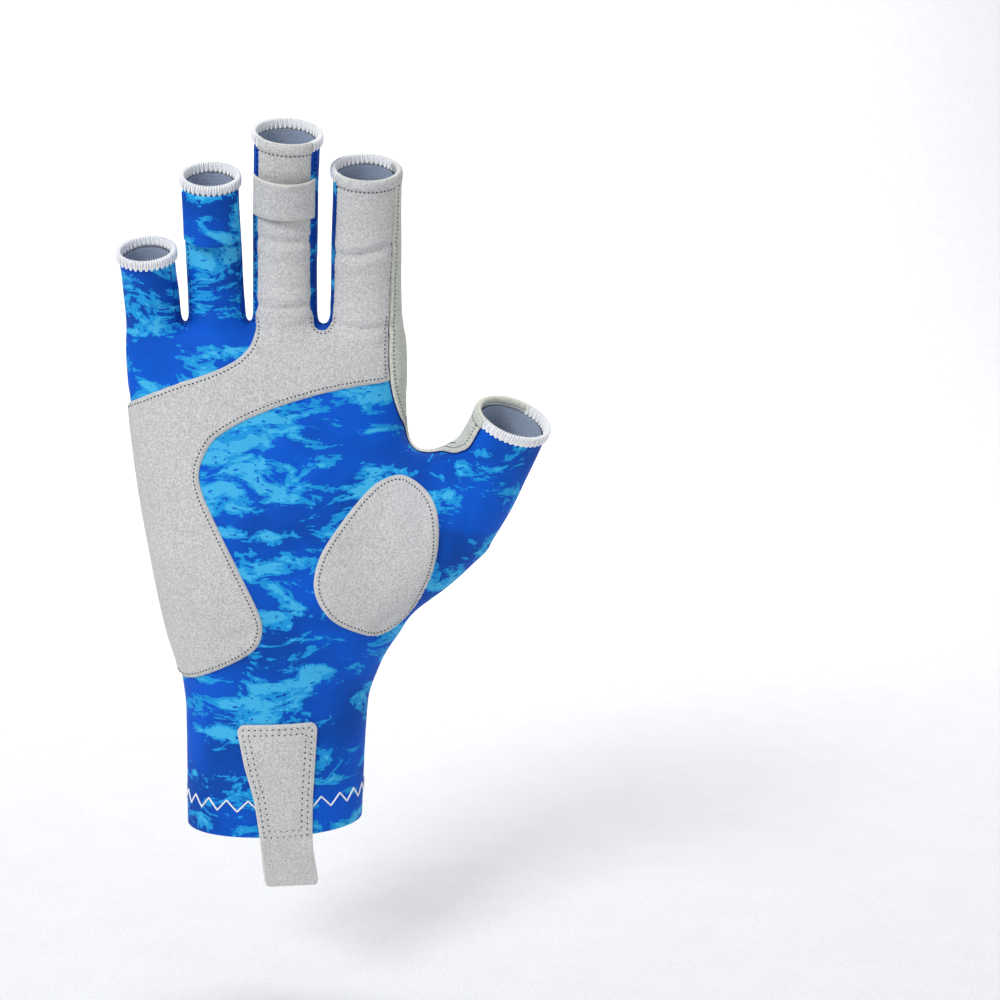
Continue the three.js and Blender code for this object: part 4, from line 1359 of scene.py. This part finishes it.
def build_tab():
    """The pull tab and the two rows of stitches that hold it on."""
    part, side = np.meshgrid(np.linspace(0, 1, 90), np.linspace(-1, 1, 40), indexing="ij")
    from_edge = np.minimum(np.minimum(part, 1 - part) * TAB_LENGTH,
                           (1 - np.abs(side)) * tab_half(part))
    pressed = sum(groove(from_edge, inset, *TAB_GROOVE) for inset, _ in TAB_ROWS)
    round_off = LEATHER_WALL / 2 - rolled(from_edge, LEATHER_WALL / 2, THIN_EDGE_RADIUS)
    face = tab_point(part, side, LEATHER_WALL - round_off - pressed)
    back = tab_point(part, side, round_off)
    obj = write_sheet("pull_tab_suede", face[::-1], back[::-1], from_edge[::-1])
    finish_piece(obj, "suede", ("pull_tab",))
    rows = []
    spacing = bpy.context.scene.glove.tab_spacing / MM
    for inset, bottom in TAB_ROWS:
        top = inset / TAB_LENGTH
        corners = np.array([(top, -1), (top, 1), (bottom, 1), (bottom, -1)])
        share = np.arange(30)[:, None] / 30
        path = np.vstack([a + (b - a) * share for a, b in zip(corners, np.roll(corners, -1, 0))])
        half = tab_half(path[:, 0])
        points = tab_point(path[:, 0], path[:, 1] * (half - inset) / half, LEATHER_WALL - 0.1)
        outward = np.tile((0.0, -1.0, 0.0), (len(points), 1))
        rows.append(stitch_row("row", (points, outward, loop_edges(len(points))), PIT, spacing,
                               "stitch_holes"))
    finish_piece(join("stitches_pull_tab", rows), "stitch_holes")


# The stage, in metres.

CAMERA_TARGET = (0.0156, 0.0, 0.104)
CAMERA_TILT = math.radians(8)
CAMERA_ASIDE = math.atan(182 / 1538)
CAMERA_DISTANCE = 0.5
CAMERA_LENS = 55.4
FLOOR_Z = -0.06
FLOOR_HALF = 4.0
BEND_Y = 1.2            # where the floor starts to curve up
BEND_RADIUS = 0.8
WORLD_COLOR = (0.95, 0.97, 1.0, 1)
WORLD_STRENGTH = 0.45
GLOVE_MIDDLE = (0.015, 0.0, 0.105)
LIGHTS = (              # name, place, target, size and power in watts
    ("key", (-0.55, -0.75, 0.75), GLOVE_MIDDLE, 0.4, 8.0),
    ("fill", (0.8, -0.7, 0.25), GLOVE_MIDDLE, 0.8, 1.5),
    ("backdrop", (0.0, 0.9, 1.6), (0.3, 2.0, 0.4), 1.5, 36.0),
)


def add_light(name, position, target, size, energy):
    """A square area light that faces the target."""
    light = bpy.data.lights.new(name, "AREA")
    light.energy = energy
    light.size = size
    obj = place(name, light)
    obj.location = position
    obj.rotation_euler = (Vector(target) - Vector(position)).to_track_quat("-Z", "Y").to_euler()


def build_camera():
    """The photo's view from the palm side, turned so that the glove is at the left."""
    ahead = Vector((0, math.cos(CAMERA_TILT), -math.sin(CAMERA_TILT)))
    look = math.cos(CAMERA_ASIDE) * ahead + math.sin(CAMERA_ASIDE) * Vector((1, 0, 0))
    data = bpy.data.cameras.new("camera")
    data.lens = CAMERA_LENS
    data.clip_start = 0.01
    camera = place("camera", data)
    camera.location = Vector(CAMERA_TARGET) - CAMERA_DISTANCE * ahead
    camera.rotation_euler = look.to_track_quat("-Z", "Y").to_euler()
    bpy.context.scene.camera = camera


def build_stage():
    """The camera, the floor that curves up into a backdrop, the lights and the world."""
    build_camera()
    curve = [(BEND_Y + BEND_RADIUS * math.sin(a), BEND_RADIUS * (1 - math.cos(a)))
             for a in np.linspace(0.1, math.pi / 2, 10)]
    profile = [(-3.0, 0.0), (BEND_Y, 0.0), *curve, (BEND_Y + BEND_RADIUS, 3.0)]
    grid = [[(x, y, FLOOR_Z + z) for x in (-FLOOR_HALF, FLOOR_HALF)] for y, z in profile]
    floor = write_mesh("floor", *grid_faces(np.array(grid) / MM))
    floor.data.materials.append(palette("studio_floor"))
    for name, position, target, size, energy in LIGHTS:
        add_light(name, position, target, size, energy * bpy.context.scene.glove.light)
    world = bpy.data.worlds.get("World") or bpy.data.worlds.new("World")
    bpy.context.scene.world = world
    world.use_nodes = True
    background = world.node_tree.nodes.get("Background")
    background.inputs["Color"].default_value = WORLD_COLOR
    background.inputs["Strength"].default_value = WORLD_STRENGTH
    bpy.context.scene.view_settings.view_transform = "Standard"


# The add-on.

class GloveProperties(bpy.types.PropertyGroup):
    cloth_dark: bpy.props.FloatVectorProperty(
        name="Cloth dark", description="The camouflage's ground colour", subtype="COLOR",
        default=(0.0, 0.092, 0.58), min=0, max=1)
    cloth_light: bpy.props.FloatVectorProperty(
        name="Cloth light", description="The camouflage's light blotches", subtype="COLOR",
        default=(0.01, 0.28, 0.66), min=0, max=1)
    cloth_bright: bpy.props.FloatVectorProperty(
        name="Cloth bright", description="The brightest parts of the blotches", subtype="COLOR",
        default=(0.05, 0.42, 0.74), min=0, max=1)
    leather: bpy.props.FloatVectorProperty(
        name="Leather", description="The palm's and the thumb pad's leather", subtype="COLOR",
        default=(0.57, 0.57, 0.57), min=0, max=1)
    strip_leather: bpy.props.FloatVectorProperty(
        name="Strip leather", description="The leather between thumb and index finger",
        subtype="COLOR", default=(0.6, 0.62, 0.56), min=0, max=1)
    lining: bpy.props.FloatVectorProperty(
        name="Lining", description="The inside of the cloth", subtype="COLOR",
        default=(0.36, 0.43, 0.56), min=0, max=1)
    thread: bpy.props.FloatVectorProperty(
        name="Thread", description="The overlock and zigzag thread", subtype="COLOR",
        default=(0.9, 0.91, 0.93), min=0, max=1)
    stitches: bpy.props.FloatVectorProperty(
        name="Stitches", description="The sunk stitches of the leather", subtype="COLOR",
        default=(0.055, 0.052, 0.05), min=0, max=1)
    seam_thread: bpy.props.FloatVectorProperty(
        name="Seam thread", description="The thread of the cloth's seams", subtype="COLOR",
        default=(0.0, 0.022, 0.17), min=0, max=1)
    stitch_spacing: bpy.props.FloatProperty(
        name="Stitch spacing", description="From one stitch of the leather to the next",
        unit="LENGTH", default=0.00125, min=0.0008, max=0.004, precision=5)
    tab_spacing: bpy.props.FloatProperty(
        name="Tab stitch spacing", description="From one stitch of the pull tab to the next",
        unit="LENGTH", default=0.0019, min=0.0008, max=0.004, precision=5)
    overlock_spacing: bpy.props.FloatProperty(
        name="Overlock spacing", description="From one turn of the overlock thread to the next",
        unit="LENGTH", default=0.0008, min=0.0005, max=0.003, precision=5)
    light: bpy.props.FloatProperty(
        name="Light", description="Strength of the studio lights", default=1.0, min=0,
        subtype="FACTOR")


class GLOVE_OT_cloth(bpy.types.Operator):
    """Builds the camouflage shell, its lining and its seams"""

    bl_idname = "glove.cloth"
    bl_label = "Cloth"

    def execute(self, context):
        build_cloth()
        return {"FINISHED"}


class GLOVE_OT_leather(bpy.types.Operator):
    """Builds the palm patch, the thumb pad and the thumb strip"""

    bl_idname = "glove.leather"
    bl_label = "Leather"

    def execute(self, context):
        build_leather()
        return {"FINISHED"}


class GLOVE_OT_bands(bpy.types.Operator):
    """Builds the pull bands of the ring and middle fingers"""

    bl_idname = "glove.bands"
    bl_label = "Pull bands"

    def execute(self, context):
        build_bands()
        return {"FINISHED"}


class GLOVE_OT_tab(bpy.types.Operator):
    """Builds the pull tab at the cuff"""

    bl_idname = "glove.tab"
    bl_label = "Pull tab"

    def execute(self, context):
        build_tab()
        return {"FINISHED"}


class GLOVE_OT_hems(bpy.types.Operator):
    """Builds the overlock and the folded leather at the finger ends"""

    bl_idname = "glove.hems"
    bl_label = "Finger ends"

    def execute(self, context):
        build_hems()
        return {"FINISHED"}


class GLOVE_OT_cuff(bpy.types.Operator):
    """Builds the cuff's folded edge and its zigzag thread"""

    bl_idname = "glove.cuff"
    bl_label = "Cuff"

    def execute(self, context):
        build_cuff()
        return {"FINISHED"}


class GLOVE_OT_stage(bpy.types.Operator):
    """Builds the floor, the lights and the camera"""

    bl_idname = "glove.stage"
    bl_label = "Stage"

    def execute(self, context):
        build_stage()
        return {"FINISHED"}


OPERATORS = (GLOVE_OT_cloth, GLOVE_OT_leather, GLOVE_OT_bands, GLOVE_OT_tab, GLOVE_OT_hems,
             GLOVE_OT_cuff, GLOVE_OT_stage)


class GLOVE_PT_panel(bpy.types.Panel):
    """The glove's sizes, colours and pieces"""

    bl_idname = "GLOVE_PT_panel"
    bl_label = "Fishing glove"
    bl_space_type = "VIEW_3D"
    bl_region_type = "UI"
    bl_category = "Glove"

    def draw(self, context):
        props = context.scene.glove
        for key in props.bl_rna.properties.keys():
            if key not in ("rna_type", "name"):
                self.layout.prop(props, key)
        for made in OPERATORS:
            self.layout.operator(made.bl_idname)


CLASSES = (GloveProperties, *OPERATORS, GLOVE_PT_panel)


def register():
    """Adds the glove's classes and its settings to Blender."""
    for made in CLASSES:
        bpy.utils.register_class(made)
    bpy.types.Scene.glove = bpy.props.PointerProperty(type=GloveProperties)


def unregister():
    """Takes them out again."""
    del bpy.types.Scene.glove
    for made in reversed(CLASSES):
        bpy.utils.unregister_class(made)


def main():
    """Builds the whole scene."""
    register()
    bpy.ops.glove.cloth()
    bpy.ops.glove.leather()
    bpy.ops.glove.bands()
    bpy.ops.glove.tab()
    bpy.ops.glove.hems()
    bpy.ops.glove.cuff()
    bpy.ops.glove.stage()


if __name__ == "__main__":
    main()
